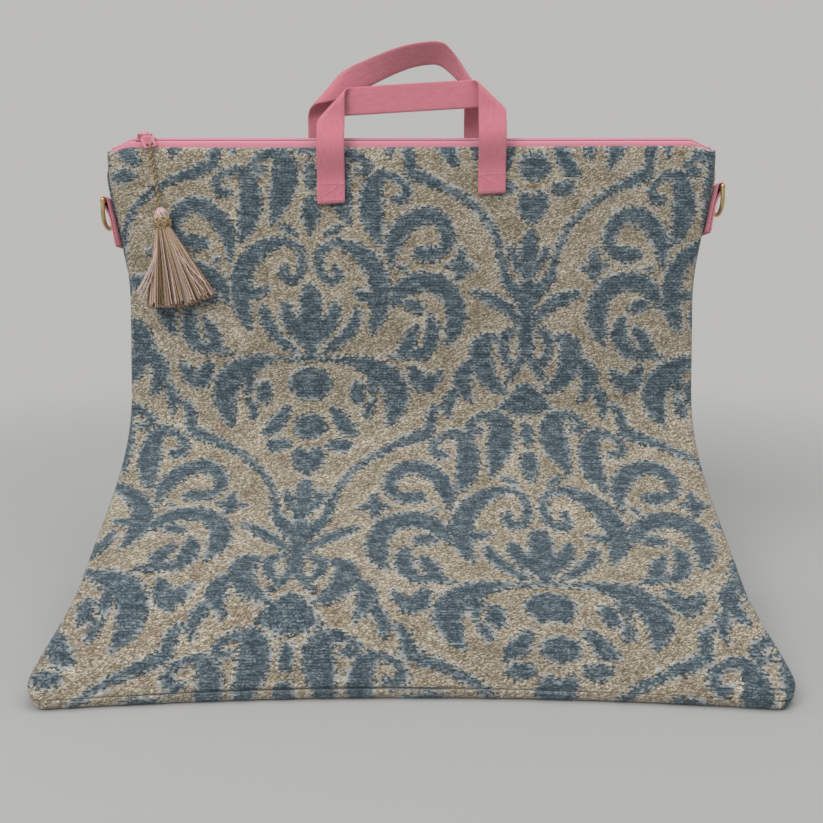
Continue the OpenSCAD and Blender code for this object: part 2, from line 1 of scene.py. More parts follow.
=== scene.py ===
import math
import random
import bpy
import numpy as np
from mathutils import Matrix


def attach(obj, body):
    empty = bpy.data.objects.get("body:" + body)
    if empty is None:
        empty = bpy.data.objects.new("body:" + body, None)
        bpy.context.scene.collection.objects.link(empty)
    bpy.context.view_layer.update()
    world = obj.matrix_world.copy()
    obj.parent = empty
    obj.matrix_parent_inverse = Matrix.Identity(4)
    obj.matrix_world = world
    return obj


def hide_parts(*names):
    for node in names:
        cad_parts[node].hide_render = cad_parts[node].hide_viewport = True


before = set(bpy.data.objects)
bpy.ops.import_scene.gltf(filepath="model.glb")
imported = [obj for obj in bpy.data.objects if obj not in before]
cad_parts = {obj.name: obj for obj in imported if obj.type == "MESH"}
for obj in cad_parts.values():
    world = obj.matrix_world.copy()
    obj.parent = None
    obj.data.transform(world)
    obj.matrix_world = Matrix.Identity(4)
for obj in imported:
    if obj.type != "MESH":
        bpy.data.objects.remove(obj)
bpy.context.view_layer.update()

# Studio. The bag stands on a pale floor that fades into a pale backdrop all round, under one large soft
# lamp from the upper left, a weaker one above and an even sky. The camera stands low in front of the bag
# and looks a little down.
backdrop, floor_tone, sky_light = (0.505, 0.50, 0.485), (0.435, 0.43, 0.415), (0.56, 0.57, 0.59)
floor_reach, floor_z = 6.0, -0.0004
scene = bpy.context.scene
scene.view_settings.view_transform = "Standard"
camera = bpy.data.cameras.new("photo_camera")
camera.lens = 40
camera.sensor_width = 36
viewer = bpy.data.objects.new("photo_camera", camera)
viewer.location = (0, -0.5705, 0.2755)
viewer.rotation_euler = (math.radians(78), 0, 0)
scene.collection.objects.link(viewer)
scene.camera = viewer


def lamp(name, place, aim, size, watts):
    light = bpy.data.lights.new(name, "AREA")
    light.size = size
    light.energy = watts
    holder = bpy.data.objects.new(name, light)
    way = np.array(aim) - np.array(place)
    holder.location = place
    holder.rotation_euler = (math.acos(-way[2] / np.linalg.norm(way)), 0, math.atan2(-way[0], way[1]))
    scene.collection.objects.link(holder)


lamp("window", (-0.9, -1.3, 1.7), (0, 0.05, 0.15), 1.1, 22)
lamp("ceiling", (0.5, -0.2, 2.2), (0, 0, 0.1), 1.6, 14)


def put(tree, kind, inputs=(), **settings):
    made = tree.nodes.new(kind)
    for name, value in settings.items():
        setattr(made, name, value)
    for name, value in dict(inputs).items():
        if isinstance(value, bpy.types.NodeSocket):
            tree.links.new(value, made.inputs[name])
        else:
            made.inputs[name].default_value = value
    return made


def maths(tree, operation, *values):
    return put(tree, "ShaderNodeMath", dict(enumerate(values)), operation=operation).outputs[0]


def blended(tree, factor, first, second):
    mixed = put(tree, "ShaderNodeMix", {"Factor": factor, "A": first, "B": second}, data_type="RGBA")
    return mixed.outputs["Result"]


def finish_of(name, **sockets):
    made = bpy.data.materials.new(name)
    made.use_nodes = True
    shader = made.node_tree.nodes["Principled BSDF"]
    for key, value in sockets.items():
        shader.inputs[key.replace("_", " ")].default_value = value
    return made, made.node_tree, shader


world = bpy.data.worlds.new("sky")
world.use_nodes = True
scene.world = world
sky = world.node_tree


def seen_rays(tree):
    # The rays that show the background: the camera's own, and those that metal or glass sends on.
    ray = put(tree, "ShaderNodeLightPath").outputs
    sent_on = maths(tree, "MAXIMUM", ray["Is Glossy Ray"], ray["Is Transmission Ray"])
    return maths(tree, "MAXIMUM", ray["Is Camera Ray"], sent_on)


pale = blended(sky, seen_rays(sky), (*sky_light, 1), (*backdrop, 1))
sky.links.new(pale, sky.nodes["Background"].inputs["Color"])
floor_cloth, tree, shader = finish_of("floor", Roughness=0.9)
shader.inputs["Base Color"].default_value = (*floor_tone, 1)
far = put(tree, "ShaderNodeVectorMath", {0: put(tree, "ShaderNodeTexCoord").outputs["Object"]},
          operation="LENGTH")
fade = put(tree, "ShaderNodeMapRange", {"Value": far.outputs["Value"], "From Min": 0.45, "From Max": 1.1},
           interpolation_type="SMOOTHSTEP")
glow = put(tree, "ShaderNodeEmission", {"Color": (*backdrop, 1)})
shown = maths(tree, "MULTIPLY", fade.outputs["Result"], seen_rays(tree))
blend = put(tree, "ShaderNodeMixShader", {0: shown, 1: shader.outputs[0], 2: glow.outputs[0]})
tree.links.new(blend.outputs[0], tree.nodes["Material Output"].inputs["Surface"])


def piece(name, points, faces, material=None):
    mesh = bpy.data.meshes.new(name)
    mesh.from_pydata([tuple(p) for p in points], [], faces)
    mesh.shade_smooth()
    made = bpy.data.objects.new(name, mesh)
    scene.collection.objects.link(made)
    if material:
        mesh.materials.append(material)
    return made


floor_corners = [(x * floor_reach, y * floor_reach, floor_z)
                 for x, y in ((-1, -1), (1, -1), (1, 1), (-1, 1))]
floor = piece("floor", floor_corners, [(0, 1, 2, 3)], floor_cloth)

# Front panel. Heavy damask with wadding behind it: chenille weft makes the raised blue ornament on a
# slubby beige ground. It is sewn to the base's front edge, slumps backwards low down and rises straight
# to the zip.
MM = 0.001
base_d, base_t, wall = 197.0, 6.0, 3.0
bag_h, back_top, half_wide = 324.0, 332.0, 222.5
foot_h, knee_h, knee_deep, top_deep = 44.0, 150.0, 26.0, 20.0
waist_in, neck_h, end_run, top_h = 14.0, 110.0, 18.5, 55.0
front_bow, front_pinch, back_pinch = 15.0, 6.0, 3.0
front_drop, back_drop = 3.0, 8.5
lip_rise, lip_reach, knee_reach = math.radians(48), 90.0, 70.0
back_run = math.tan(math.radians(7.4))


def smooth(t):
    c = np.clip(t, 0, 1)
    return c * c * (3 - 2 * c)


def mix(a, b, t):
    return a + (b - a) * t


def back_y(z):
    return base_d / 2 + (z - base_t) * back_run


lip = np.array([-base_d / 2, base_t])
knee = np.array([back_y(knee_h) - knee_deep, knee_h])
front_top = np.array([back_y(back_top) - top_deep, bag_h])
upright = (front_top - knee) / np.linalg.norm(front_top - knee)
front_lean = upright[0] / upright[1]
lip_pull = lip + lip_reach * np.array([math.cos(lip_rise), math.sin(lip_rise)])
knee_pull = knee - knee_reach * upright
knee_v = 0.55


def front_yz(v):
    v = np.asarray(v, float)[..., None]
    t = np.clip(v / knee_v, 0, 1)
    low = ((1 - t) ** 3 * lip + 3 * t * (1 - t) ** 2 * lip_pull + 3 * t * t * (1 - t) * knee_pull
           + t ** 3 * knee)
    return np.where(v < knee_v, low, knee + (front_top - knee) * (v - knee_v) / (1 - knee_v))


def front_run(v):
    d = front_yz(np.minimum(1, np.asarray(v) + 0.002)) - front_yz(np.maximum(0, np.asarray(v) - 0.002))
    return np.linalg.norm(d, axis=-1) / d[..., 1]


def waist(z):
    return smooth((z - base_t) / foot_h) * smooth((bag_h - z) / neck_h)


def half_w(z):
    return half_wide - waist_in * waist(z)


def end_fall(x):
    return smooth((np.abs(x) - half_wide + end_run) / end_run)


def top_part(z):
    return smooth((z - bag_h + top_h) / top_h)


def front_at(x, v, inset=0.0):
    p = front_yz(v)
    y, z = p[..., 0], p[..., 1]
    u = x / half_w(z)
    bow = front_bow * (1 - smooth((z - base_t) / foot_h))
    deep = y + bow * (1 - u * u) + front_pinch * waist(z) * u ** 8 + inset * front_run(v)
    return np.stack([x + 0 * y, deep, z - front_drop * end_fall(x) * top_part(z)], -1)


def back_z(z):
    return base_t + (z - base_t) * (back_top - base_t) / (bag_h - base_t)


def back_at(x, v, inset=0.0):
    z = front_yz(v)[..., 1]
    u = x / half_w(z)
    lean = math.cos(math.atan(back_run))
    deep = back_y(back_z(z)) - back_pinch * waist(z) * u ** 8 - inset / lean
    return np.stack([x + 0 * z, deep, back_z(z) - back_drop * end_fall(x) * top_part(z)], -1)


# The ornament is drawn as tapered strokes of (across, down, half width) in millimetres between two axes of
# the damask, at nought and at B; the cloth mirrors it about both axes and drops it by half a repeat.
B, half_drop, axis_x = 158.0, 190.0, -74.0
strokes = [
    [(33, 15.5, 2.8), (38.5, 17, 3.6), (41, 12, 3.8), (35, 6.5, 3.6), (28, 5, 4.5), (21, 7, 7),
     (18.5, 14, 9.5), (19, 22, 10), (20.5, 31, 9.5), (23, 40, 7), (25.5, 48, 4.5), (27.5, 55, 2)],
    [(60, 36, 3.5), (65, 36.5, 4.2), (68, 31, 4.2), (65, 24, 3.4), (57, 19.5, 3.6), (50, 19.5, 5),
     (45.5, 25, 7), (43.5, 36, 8.5), (44, 46, 8.8), (46, 56, 7), (49, 65, 4), (52, 70, 1.5)],
    [(0, 13, 4), (0, 20, 5), (0, 27, 3.5)],
    [(0, 38, 4.5), (0, 45, 7), (0, 53, 5.5), (0, 61, 1.5)],
    [(20, 57, 2.5), (16, 60, 3.6), (11, 62, 2)],
    [(45, 132, 2.5), (49, 122, 6), (51.5, 108, 8), (49, 92, 8), (41, 79, 7), (30, 71.5, 5.5),
     (19, 68, 3.5), (11, 70.5, 3.2), (6.5, 77, 3.6), (6, 86, 4), (9.5, 93, 3.6), (16, 95.5, 4),
     (20.5, 91.5, 3.8), (19, 87, 3)],
    [(46, 108, 5), (38, 106, 4), (32.5, 104, 2.5)],
    [(34, 118, 3), (32, 126, 5), (27, 134, 5), (19, 142, 4), (11, 147, 2.5)],
    [(0, 104, 6.5), (0, 110, 8.5), (0, 118, 8.5), (0, 128, 10)],
    [(18, 115, 4.5), (17, 121, 5.5), (12, 129, 7), (5, 137, 6), (0, 142, 5.5), (0, 148, 4), (0, 152, 3)],
    [(1, 151, 3), (10, 152.5, 2.2), (20, 153, 2.5), (31, 154, 4), (43, 158, 7), (54, 164, 9),
     (62, 174, 9.8), (63, 185, 8.5), (60, 195, 5.5), (56.5, 202, 2)],
    [(48, 163, 5), (45, 171, 5), (46, 178, 3)],
    [(46, 183, 2.2), (43, 188, 4), (41.5, 194, 4)],
    [(0, 170, 11.5), (5, 170, 10.5), (9, 170.5, 7.5)],
    [(0, 176, 6), (7, 178, 5)],
    [(34, 175, 6), (34.5, 181, 6)],
    [(17, 190, 3), (21, 196, 5.5), (26, 203, 6.5), (31, 208, 4)],
    [(0, 203, 10.5), (3, 203, 9.5)],
    [(17, 218, 4.5), (23, 218.5, 6), (27, 218, 4.5)],
    [(6, 226, 6), (4, 232, 7.5), (0, 238, 6), (0, 243, 2.5)],
    [(0, 252, 4), (0, 259, 6.5), (0, 268, 7), (0, 276, 5.5), (0, 284, 3.4), (0, 300, 3.2)],
    [(13, 262, 3), (11, 268, 4), (6, 276, 3.6), (1, 283, 3)],
    [(B - 19, 188, 1.5), (B - 12, 186.5, 5), (B - 6, 185, 9), (B, 183, 11.5), (B, 175, 5), (B, 171, 2)],
    [(B - 6, 105, 6), (B - 12, 99, 5), (B - 17, 92, 4.2), (B - 19, 82, 3.6), (B - 23, 68, 3.2),
     (B - 28, 57, 3.1), (B - 36, 47, 3.1), (B - 46, 38, 3.2), (B - 56, 32, 3.4), (B - 67, 26, 4),
     (B - 79, 21, 5), (B - 87, 17, 4)],
    [(B, 102, 8), (B, 108, 8), (B, 118, 6), (B, 130, 5.5), (B, 142, 6), (B, 150, 4)],
    [(B - 4, 128, 3.5), (B - 14, 116, 5), (B - 26, 109, 5.2), (B - 38, 104, 2.5)],
    [(B - 9, 132, 3), (B - 15, 136, 4.5), (B - 17, 143, 4.5), (B - 15, 151, 4), (B - 11, 158, 3)],
    [(B - 20, 137, 2), (B - 28, 138, 5), (B - 33, 146, 8.5), (B - 32, 157, 8.5), (B - 27, 167, 7),
     (B - 20, 174, 4.5), (B - 13, 178, 2)],
    [(B - 38, 154, 3), (B - 44, 160, 6), (B - 47, 168, 7), (B - 44, 177, 5), (B - 40, 184, 2)],
    [(B - 50, 174, 3), (B - 55, 181, 5), (B - 57, 189, 4), (B - 56, 196, 1.5)],
    [(B - 62, 186, 2), (B - 68, 191, 4), (B - 70, 199, 4.5), (B - 72, 207, 5), (B - 80, 211, 5)],
    [(B - 2, 150, 4), (B - 6, 157, 4.2), (B - 11, 165, 3.4), (B - 15, 170, 1.5)],
    [(58.5, 86, 1.5), (58.5, 78, 4), (60, 68, 6.5), (66, 57, 7.5), (75, 50, 7), (86, 48, 6.5), (95, 54, 6),
     (99, 63, 5.5), (97, 72, 4.5), (92, 77, 4)],
    [(79, 76, 5.5), (86, 76.5, 6.2), (92, 75, 4.6)],
    [(67, 86, 2.4), (69, 87, 2.4)],
    [(109, 74, 3), (109, 80, 4.5), (109, 88, 4.8), (108, 94, 2.6)],
    [(101, 84, 2.8), (109, 85, 4.6), (118, 86, 2.8)],
    [(61, 114, 2.5), (63, 107, 5.5), (69, 100.5, 7.2), (78, 96.5, 7.4), (88, 96.5, 7.6), (98, 101, 7.8),
     (104.5, 110, 8), (106.5, 121, 8), (105, 131, 6.5), (101, 141, 2.5)],
    [(71, 113, 4.6), (75, 113.5, 5.4), (79, 115.5, 4.6)],
    [(87.5, 123, 3), (89, 131, 6), (88, 140, 6.4), (83, 148, 5), (74, 149.5, 4.2), (64, 150.5, 3.2),
     (57, 152, 1.5)],
    [(77, 131, 3.5), (72.5, 138, 5.8), (69, 146, 5.4)],
    [(75, 161, 4), (78, 167.5, 6.8), (84, 171.5, 7.2), (91, 167, 5), (95, 162, 2.5)],
]


def stroke_discs():
    discs = []
    for stroke in strokes:
        knots = np.array(stroke, float)
        ends = np.vstack([2 * knots[0] - knots[1], knots, 2 * knots[-1] - knots[-2]])
        for k in range(len(knots) - 1):
            p0, p1, p2, p3 = ends[k:k + 4]
            for t in np.arange(0, 1, 0.14):
                discs.append(0.5 * (2 * p1 + (p2 - p0) * t + (2 * p0 - 5 * p1 + 4 * p2 - p3) * t * t
                                    + (3 * p1 - p0 - 3 * p2 + p3) * t ** 3))
        discs.append(knots[-1])
    discs = np.array(discs)
    images = []
    for a, s in ((discs[:, 0], discs[:, 1]), (B - discs[:, 0], discs[:, 1] - half_drop),
                 (B - discs[:, 0], discs[:, 1] + half_drop)):
        for across in (a, -a, 2 * B - a):
            images.append(np.stack([across, s, discs[:, 2]], -1))
    images = np.vstack(images)
    margin = 14
    keep = ((images[:, 0] > -margin) & (images[:, 0] < B + margin) & (images[:, 1] > -margin)
            & (images[:, 1] < half_drop + margin))
    return images[keep]


discs = stroke_discs()


def ornament(across, down):
    # Distance in millimetres to the nearest stroke's edge, below nought inside the blue.
    a = np.mod(across - axis_x, 2 * B)
    s = np.mod(down, 2 * half_drop)
    low = s >= half_drop
    a, s = np.where(low, np.mod(a + B, 2 * B), a), np.where(low, s - half_drop, s)
    a = np.where(a > B, 2 * B - a, a)
    flat = np.stack([a.ravel(), s.ravel()], -1)
    found = np.empty(len(flat))
    for i in range(0, len(flat), 4000):
        part = flat[i:i + 4000]
        d = np.hypot(part[:, None, 0] - discs[None, :, 0],
                     part[:, None, 1] - discs[None, :, 1]) - discs[None, :, 2]
        found[i:i + 4000] = d.min(1)
    return found.reshape(across.shape)


def ripple(across, down):
    return (0.6 * np.sin(across / 31 + 1.1) * np.sin(down / 43 + 0.4)
            + 0.5 * np.sin(across / 17 + down / 29)
            + 0.35 * np.sin(across / 11 - down / 37 + 2))


def quads(at, turned_over=False):
    # The faces of a grid of point numbers.
    faces = np.stack([at[:-1, :-1], at[:-1, 1:], at[1:, 1:], at[1:, :-1]], -1).reshape(-1, 4)
    return (faces[:, [0, 3, 2, 1]] if turned_over else faces).tolist()


def run_of(points):
    # How far along a line each of its points lies.
    return np.concatenate([[0], np.cumsum(np.linalg.norm(np.diff(points, axis=0), axis=1))])


def uv_of(made, across, down):
    # The cloth's own coordinates, in hundreds of millimetres.
    mesh = made.data
    weave = np.stack([np.ravel(across), np.ravel(down)], -1) / 100
    corner = np.empty(len(mesh.loops), np.int32)
    mesh.loops.foreach_get("vertex_index", corner)
    mesh.uv_layers.new(name="cloth").data.foreach_set("uv", weave[corner].ravel().astype(np.float32))


def cloth(name, outer, inner, across, down, material, relief=0.7, wave=0.6):
    # A panel: a fine outer face with its woven relief, and an inner face of long strips.
    blue = ornament(across, down)
    du, dv = np.gradient(outer, axis=1), np.gradient(outer, axis=0)
    out = np.cross(du, dv)
    out /= np.linalg.norm(out, axis=-1, keepdims=True)
    rise = relief * smooth((0.9 - blue) / 2.2) + wave * ripple(across, down)
    rows, cols = across.shape
    edge = np.minimum.reduce([np.arange(cols)[None, :] + 0 * across,
                              np.arange(cols)[None, ::-1] + 0 * across,
                              np.arange(rows)[:, None] + 0 * across,
                              np.arange(rows)[::-1, None] + 0 * across])
    rise *= smooth(edge / 5)
    outer = outer + out * rise[..., None]
    strips = sorted(set(range(0, rows, 8)) | {rows - 1})
    points = np.vstack([outer.reshape(-1, 3), inner[strips].reshape(-1, 3)]) * MM
    at = np.arange(rows * cols).reshape(rows, cols)
    under = rows * cols + np.arange(len(strips) * cols).reshape(len(strips), cols)
    faces = quads(at) + quads(under, turned_over=True)
    for i in range(cols - 1):
        faces.append([int(at[0, i + 1]), int(at[0, i]), int(under[0, i]), int(under[0, i + 1])])
        faces.append([int(at[-1, i]), int(at[-1, i + 1]), int(under[-1, i + 1]), int(under[-1, i])])
    for k in range(len(strips) - 1):
        lower, upper = strips[k], strips[k + 1]
        faces.append([int(v) for v in at[lower:upper + 1, 0]] + [int(under[k + 1, 0]), int(under[k, 0])])
        faces.append([int(v) for v in at[lower:upper + 1, -1][::-1]]
                     + [int(under[k, -1]), int(under[k + 1, -1])])
    made = piece(name, points, faces, material)
    spots, over, along = (np.concatenate([grid.ravel(), grid[strips].ravel()])
                          for grid in (blue, across, down))
    woven = made.data.attributes.new("ornament", "FLOAT", "POINT")
    woven.data.foreach_set("value", spots.astype(np.float32))
    uv_of(made, over, along)
    return made


damask, tree, shader = finish_of("damask", Roughness=0.92, Sheen_Weight=0.25, Sheen_Roughness=0.5)
shader.inputs["Sheen Tint"].default_value = (0.7, 0.8, 0.85, 1)
shader.inputs["Specular IOR Level"].default_value = 0.2
spot = put(tree, "ShaderNodeSeparateXYZ", {0: put(tree, "ShaderNodeUVMap", uv_map="cloth").outputs[0]})
weft = maths(tree, "MULTIPLY", spot.outputs[0], 100.0)
warp = maths(tree, "MULTIPLY", spot.outputs[1], 100.0)


def yarn_luck(long, high, skew):
    # A random number for each float of yarn, this long and high, with its rows set off at random.
    row = maths(tree, "FLOOR", maths(tree, "DIVIDE", warp, high))
    start = put(tree, "ShaderNodeTexWhiteNoise", {"W": maths(tree, "ADD", row, skew)},
                noise_dimensions="1D").outputs[0]
    cell = maths(tree, "FLOOR",
                 maths(tree, "MULTIPLY_ADD", weft, 1 / long, maths(tree, "MULTIPLY", start, 9.0)))
    spot = put(tree, "ShaderNodeCombineXYZ", {0: cell, 1: row, 2: skew})
    return put(tree, "ShaderNodeTexWhiteNoise", {"Vector": spot.outputs[0]},
               noise_dimensions="3D").outputs[0]


def cloudy(long, high, detail=2.0):
    spot = put(tree, "ShaderNodeCombineXYZ",
               {0: maths(tree, "DIVIDE", weft, long), 1: maths(tree, "DIVIDE", warp, high)})
    return put(tree, "ShaderNodeTexNoise",
               {"Vector": spot.outputs[0], "Scale": 1.0, "Detail": detail}).outputs[0]


def scaled(tree, value, times, plus):
    return maths(tree, "MULTIPLY_ADD", value, times, plus)


def ranged(tree, value, low, high):
    return put(tree, "ShaderNodeMapRange",
               {"Value": value, "From Min": low, "From Max": high}).outputs["Result"]


pick = 1.35
fringe = yarn_luck(3.4, pick, 3.0)
tick = yarn_luck(1.1, pick / 2, 7.0)
edge = put(tree, "ShaderNodeAttribute", attribute_name="ornament").outputs["Fac"]
ragged = maths(tree, "ADD", scaled(tree, fringe, 2.8, -1.45), scaled(tree, tick, 2.4, -1.2))
field = maths(tree, "ADD", edge, ragged)
pile = ranged(tree, field, 0.4, -0.4)
# The ribs of the pile: their height feeds the bump, and the blue's tone as painted shade.
rib_height_and_shade = maths(tree, "ABSOLUTE", maths(tree, "SINE", maths(tree, "MULTIPLY", warp, math.pi / (1.5 * pick))))
fuzz = cloudy(0.9, 0.9, 3.0)
# Creases in the pile: they sink the bump, and darken the blue as painted shade.
crease_dip_and_shade = ranged(tree, cloudy(14.0, 1.5), 0.40, 0.30)
tone = maths(tree, "ADD", scaled(tree, cloudy(9.0, 4.0), 1.3, -0.48), scaled(tree, fuzz, 0.9, -0.36))
tone = maths(tree, "ADD", tone, scaled(tree, cloudy(6.0, 0.8), 0.7, -0.26))
# Painted shade: the blue is darkened along the creases, where the bump below also sinks the pile.
tone = scaled(tree, crease_dip_and_shade, -0.38, maths(tree, "ADD", tone, -0.145))
# Painted shade: the blue is lightened on the crests of the ribs and darkened in the grooves between them,
# the same ribs that the bump below raises.
tone = scaled(tree, rib_height_and_shade, 0.16, tone)
tone = maths(tree, "ADD", tone, scaled(tree, tick, 0.7, -0.35))
blue = put(tree, "ShaderNodeValToRGB", {"Fac": tone})
blue.color_ramp.elements[0].color = (0.036, 0.056, 0.070, 1)
blue.color_ramp.elements[1].color = (0.31, 0.36, 0.37, 1)
blue.color_ramp.elements.new(0.45).color = (0.100, 0.134, 0.150, 1)
slub_long, slub_high = 1.25, 0.82
leaning = maths(tree, "DIVIDE", scaled(tree, warp, 0.7, weft), slub_long)
slant = put(tree, "ShaderNodeCombineXYZ", {0: leaning, 1: maths(tree, "DIVIDE", warp, slub_high)})
slub = put(tree, "ShaderNodeTexVoronoi", {"Vector": slant.outputs[0], "Scale": 1.0, "Randomness": 0.8})
slub_tone = put(tree, "ShaderNodeSeparateColor", {0: slub.outputs["Color"]}).outputs[0]
slub_gap_and_shade = slub.outputs["Distance"]
# Painted shade: the ground is darkened in the gaps between the slubs, where the bump below sinks it; the
# broad cloudy patches are the yarn's own tone.
patchy_and_gap_shade = scaled(tree, slub_gap_and_shade, -0.5, maths(tree, "MULTIPLY", cloudy(30.0, 16.0), 0.55))
ground_tone = maths(tree, "ADD", scaled(tree, slub_tone, 0.62, scaled(tree, fuzz, 0.5, -0.04)), patchy_and_gap_shade)
ground = put(tree, "ShaderNodeValToRGB", {"Fac": ground_tone})
ground.color_ramp.elements[0].color = (0.105, 0.076, 0.044, 1)
ground.color_ramp.elements[1].color = (0.70, 0.655, 0.58, 1)
ground.color_ramp.elements.new(0.3).color = (0.205, 0.158, 0.100, 1)
ground.color_ramp.elements.new(0.55).color = (0.325, 0.272, 0.194, 1)
ground.color_ramp.elements.new(0.75).color = (0.465, 0.412, 0.326, 1)
both = blended(tree, pile, ground.outputs[0], blue.outputs[0])
near_edge = ranged(tree, maths(tree, "ABSOLUTE", edge), 3.4, 0.6)
pale_end = maths(tree, "MULTIPLY", near_edge, maths(tree, "GREATER_THAN", yarn_luck(2.0, pick, 5.0), 0.62))
fringed = blended(tree, maths(tree, "MULTIPLY", pale_end, 0.62), both, (0.50, 0.51, 0.49, 1))
tree.links.new(fringed, shader.inputs["Base Color"])


def embossed(tree, shader, height, deep, strength):
    bump = put(tree, "ShaderNodeBump", {"Height": height, "Distance": deep, "Strength": strength})
    tree.links.new(bump.outputs[0], shader.inputs["Normal"])


pile_h = scaled(tree, rib_height_and_shade, 0.35, scaled(tree, fuzz, 0.5, scaled(tree, crease_dip_and_shade, -0.3, 0.3)))
ground_h = scaled(tree, slub_gap_and_shade, -0.7, 0.4)
height = put(tree, "ShaderNodeMix", {"Factor": pile, "A": ground_h, "B": pile_h}, data_type="FLOAT")
embossed(tree, shader, height.outputs["Result"], 0.0008, 0.8)

front_cols, front_rows = 281, 265
corner_r, seam_r, top_r, seam_soft, top_soft = 10.0, 5.0, 4.0, 0.5, 0.6
hem_least, hem_mid, hem_spread = 0.12, -40.0, 120.0
edge_stands, edge_roll, rise_from, rise_run = 1.3, 9.0, -100.0, 300.0
levels = np.linspace(0, 1, 4001)
front_line = front_yz(levels)
front_arc = run_of(front_line)
front_long = front_arc[-1]


def edge_turn(distance, radius):
    # How far a rolled edge falls back at this distance from it.
    t = np.clip(1 - distance / radius, 0, 1)
    return radius * (1 - np.sqrt(np.maximum(0, 1 - t * t)))


def corner_in(y, radius=corner_r):
    # How far the round front corners of the base stand in from its square outline.
    return edge_turn(y + base_d / 2, radius)


even_rows = np.interp(np.linspace(0, front_long, front_rows), front_arc, levels)
U, V = np.meshgrid(np.linspace(-1, 1, front_cols), even_rows)
X = U * (half_w(front_yz(V)[..., 1]) - corner_in(front_yz(V)[..., 0]))
down = front_long - np.interp(V, levels, front_arc)
side_d = (1 - np.abs(U)) * half_wide
seam_shows = hem_least + (1 - hem_least) * np.exp(-((X - hem_mid) / hem_spread) ** 2)
rolled = edge_turn(side_d, seam_r) * seam_soft + edge_turn(down, top_r) * top_soft
rolled += edge_turn(front_long - down, seam_r) * seam_soft * seam_shows
proud = (edge_stands + smooth((X - rise_from) / rise_run)) * smooth((edge_roll - down) / edge_roll)
outer, inner = front_at(X, V, rolled), front_at(X, V, wall)
outer[..., 2] += proud
inner[..., 2] += proud
# Where the slump pulls the ornament out of line: middle across and down, spread of both, shift of both.
pulls = [(-200, 70, 70, 110, 0, 12), (80, 10, 90, 60, -6, 0), (95, 300, 75, 30, 0, -9),
         (-160, 320, 70, 40, 0, 10), (-74, 355, 60, 22, 0, 10), (90, 392, 80, 22, -5, 0),
         (-74, 300, 30, 15, 0, -6)]
drawn_x, drawn = X.copy(), down.copy()
for x0, s0, wide_x, wide_s, shift_x, shift_s in pulls:
    near = np.exp(-((X - x0) / wide_x) ** 2 - ((down - s0) / wide_s) ** 2)
    drawn_x += shift_x * near
    drawn += shift_s * near
front = cloth("front_panel_cloth", outer, inner, drawn_x, drawn, damask)
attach(front, "bag")
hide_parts("front_panel")


# Back panel. The same damask over the same wadding, cut flat. It stands nearly straight up from the base's
# rear edge and its top edge is a little higher than the front's, where the zip is sewn in between.
back_cols, back_rows = 233, 177
back_levels = np.interp(np.linspace(base_t, bag_h, back_rows), front_line[:, 1], levels)
V, U = np.meshgrid(back_levels, np.linspace(1, -1, back_cols), indexing="ij")
z = front_yz(V)[..., 1]
X = U * half_w(z)
side_d = (1 - np.abs(U)) * half_wide
back_down = (back_top - back_z(z)) / math.cos(math.atan(back_run))
outer = back_at(X, V, edge_turn(side_d, seam_r) * seam_soft + edge_turn(back_down, top_r) * top_soft)
back_shift = (20, 60)
back = cloth("back_panel_cloth", outer, back_at(X, V, wall), back_shift[0] - X, back_down + back_shift[1],
             damask)
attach(back, "bag")
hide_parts("back_panel")

# Base. A flat padded panel of the same damask; the front panel is seamed to its front edge and the edge
# rolls under. Its two front corners are turned round, so the seam is soft there.
base_rows, base_cols, edge_rows = 121, 225, 9
base_in, base_corner_r = 1.2, 14.0
u = np.linspace(-1, 1, base_cols)
turn = np.linspace(0, math.pi / 2, edge_rows)
flat_run = np.linspace(0, 1, base_rows - 2 * edge_rows + 2)[1:-1]
roll_r = base_t - 0.2
edge_y, edge_z = 0.6 * roll_r * (1 - np.cos(turn)), roll_r * (1 - np.sin(turn))
profile = np.concatenate([np.stack([edge_y, edge_z], -1),
                          np.stack([roll_r * 0.6 + flat_run * (base_d - 1.2 * roll_r), 0 * flat_run], -1),
                          np.stack([base_d - edge_y, edge_z], -1)[::-1]])
along = profile[:, 0] - base_d / 2
half = half_wide - base_in - corner_in(along, base_corner_r)
X = u[None, :] * half[:, None]
bowed = front_bow * (1 - (X / half_wide) ** 2) * (base_d / 2 - along[:, None]) / base_d
side_d = half[:, None] - np.abs(X)
Z = np.maximum(profile[:, 1][:, None] + 0 * X, edge_turn(side_d, roll_r))
outer = np.stack([X, along[:, None] + bowed, Z], -1)
inner_y = np.clip(along[:, None], -base_d / 2 + 0.3, base_d / 2 - 0.3) + bowed
inner = np.stack([X, inner_y, 0 * X + base_t], -1)
base_down = front_long + run_of(profile)[:, None] + 0 * X
base = cloth("base_cloth", outer[:, ::-1], inner[:, ::-1], X[:, ::-1], base_down, damask, wave=0.0,
             relief=0.3)
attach(base, "bag")
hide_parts("base_panel")

# Gussets. A strip of the same damask closes each side and is sewn into the front, back and base seams.
# It folds inwards low down, where the bag slumps, and is full near the top.
gusset_t, seam_gap, tab_mid = 4.0, 0.3, 274.0
fold_deep, bulge_out, bulge_end, top_ease, gusset_corner = 12.0, 2.0, 16.0, 4.6, 6.0
gusset_cols, gusset_rows = 85, 161


def swell(t, z):
    above = smooth((z - knee_h) / (tab_mid - knee_h))
    fold = -fold_deep * smooth((z - base_t) / foot_h) * (1 - above)
    bulge = bulge_out * above * smooth((bag_h - z) / bulge_end)
    return fold * (1 - (2 * t - 1) ** 2) + bulge * (1 - (2 * t - 1) ** 4)


def gusset_at(t, v, deep):
    z = front_yz(v)[..., 1]
    x = half_w(z) - deep
    gap = np.array([0, seam_gap, 0])
    p = mix(front_at(x, v, wall) + gap, back_at(x, v, wall) - gap, t[..., None])
    low = top_ease * top_part(z)
    p[..., 0] += swell(t, z) - corner_in(p[..., 1] - gusset_corner)
    p[..., 1] -= low * mix(front_lean, back_run, t)
    p[..., 2] -= low
    return p


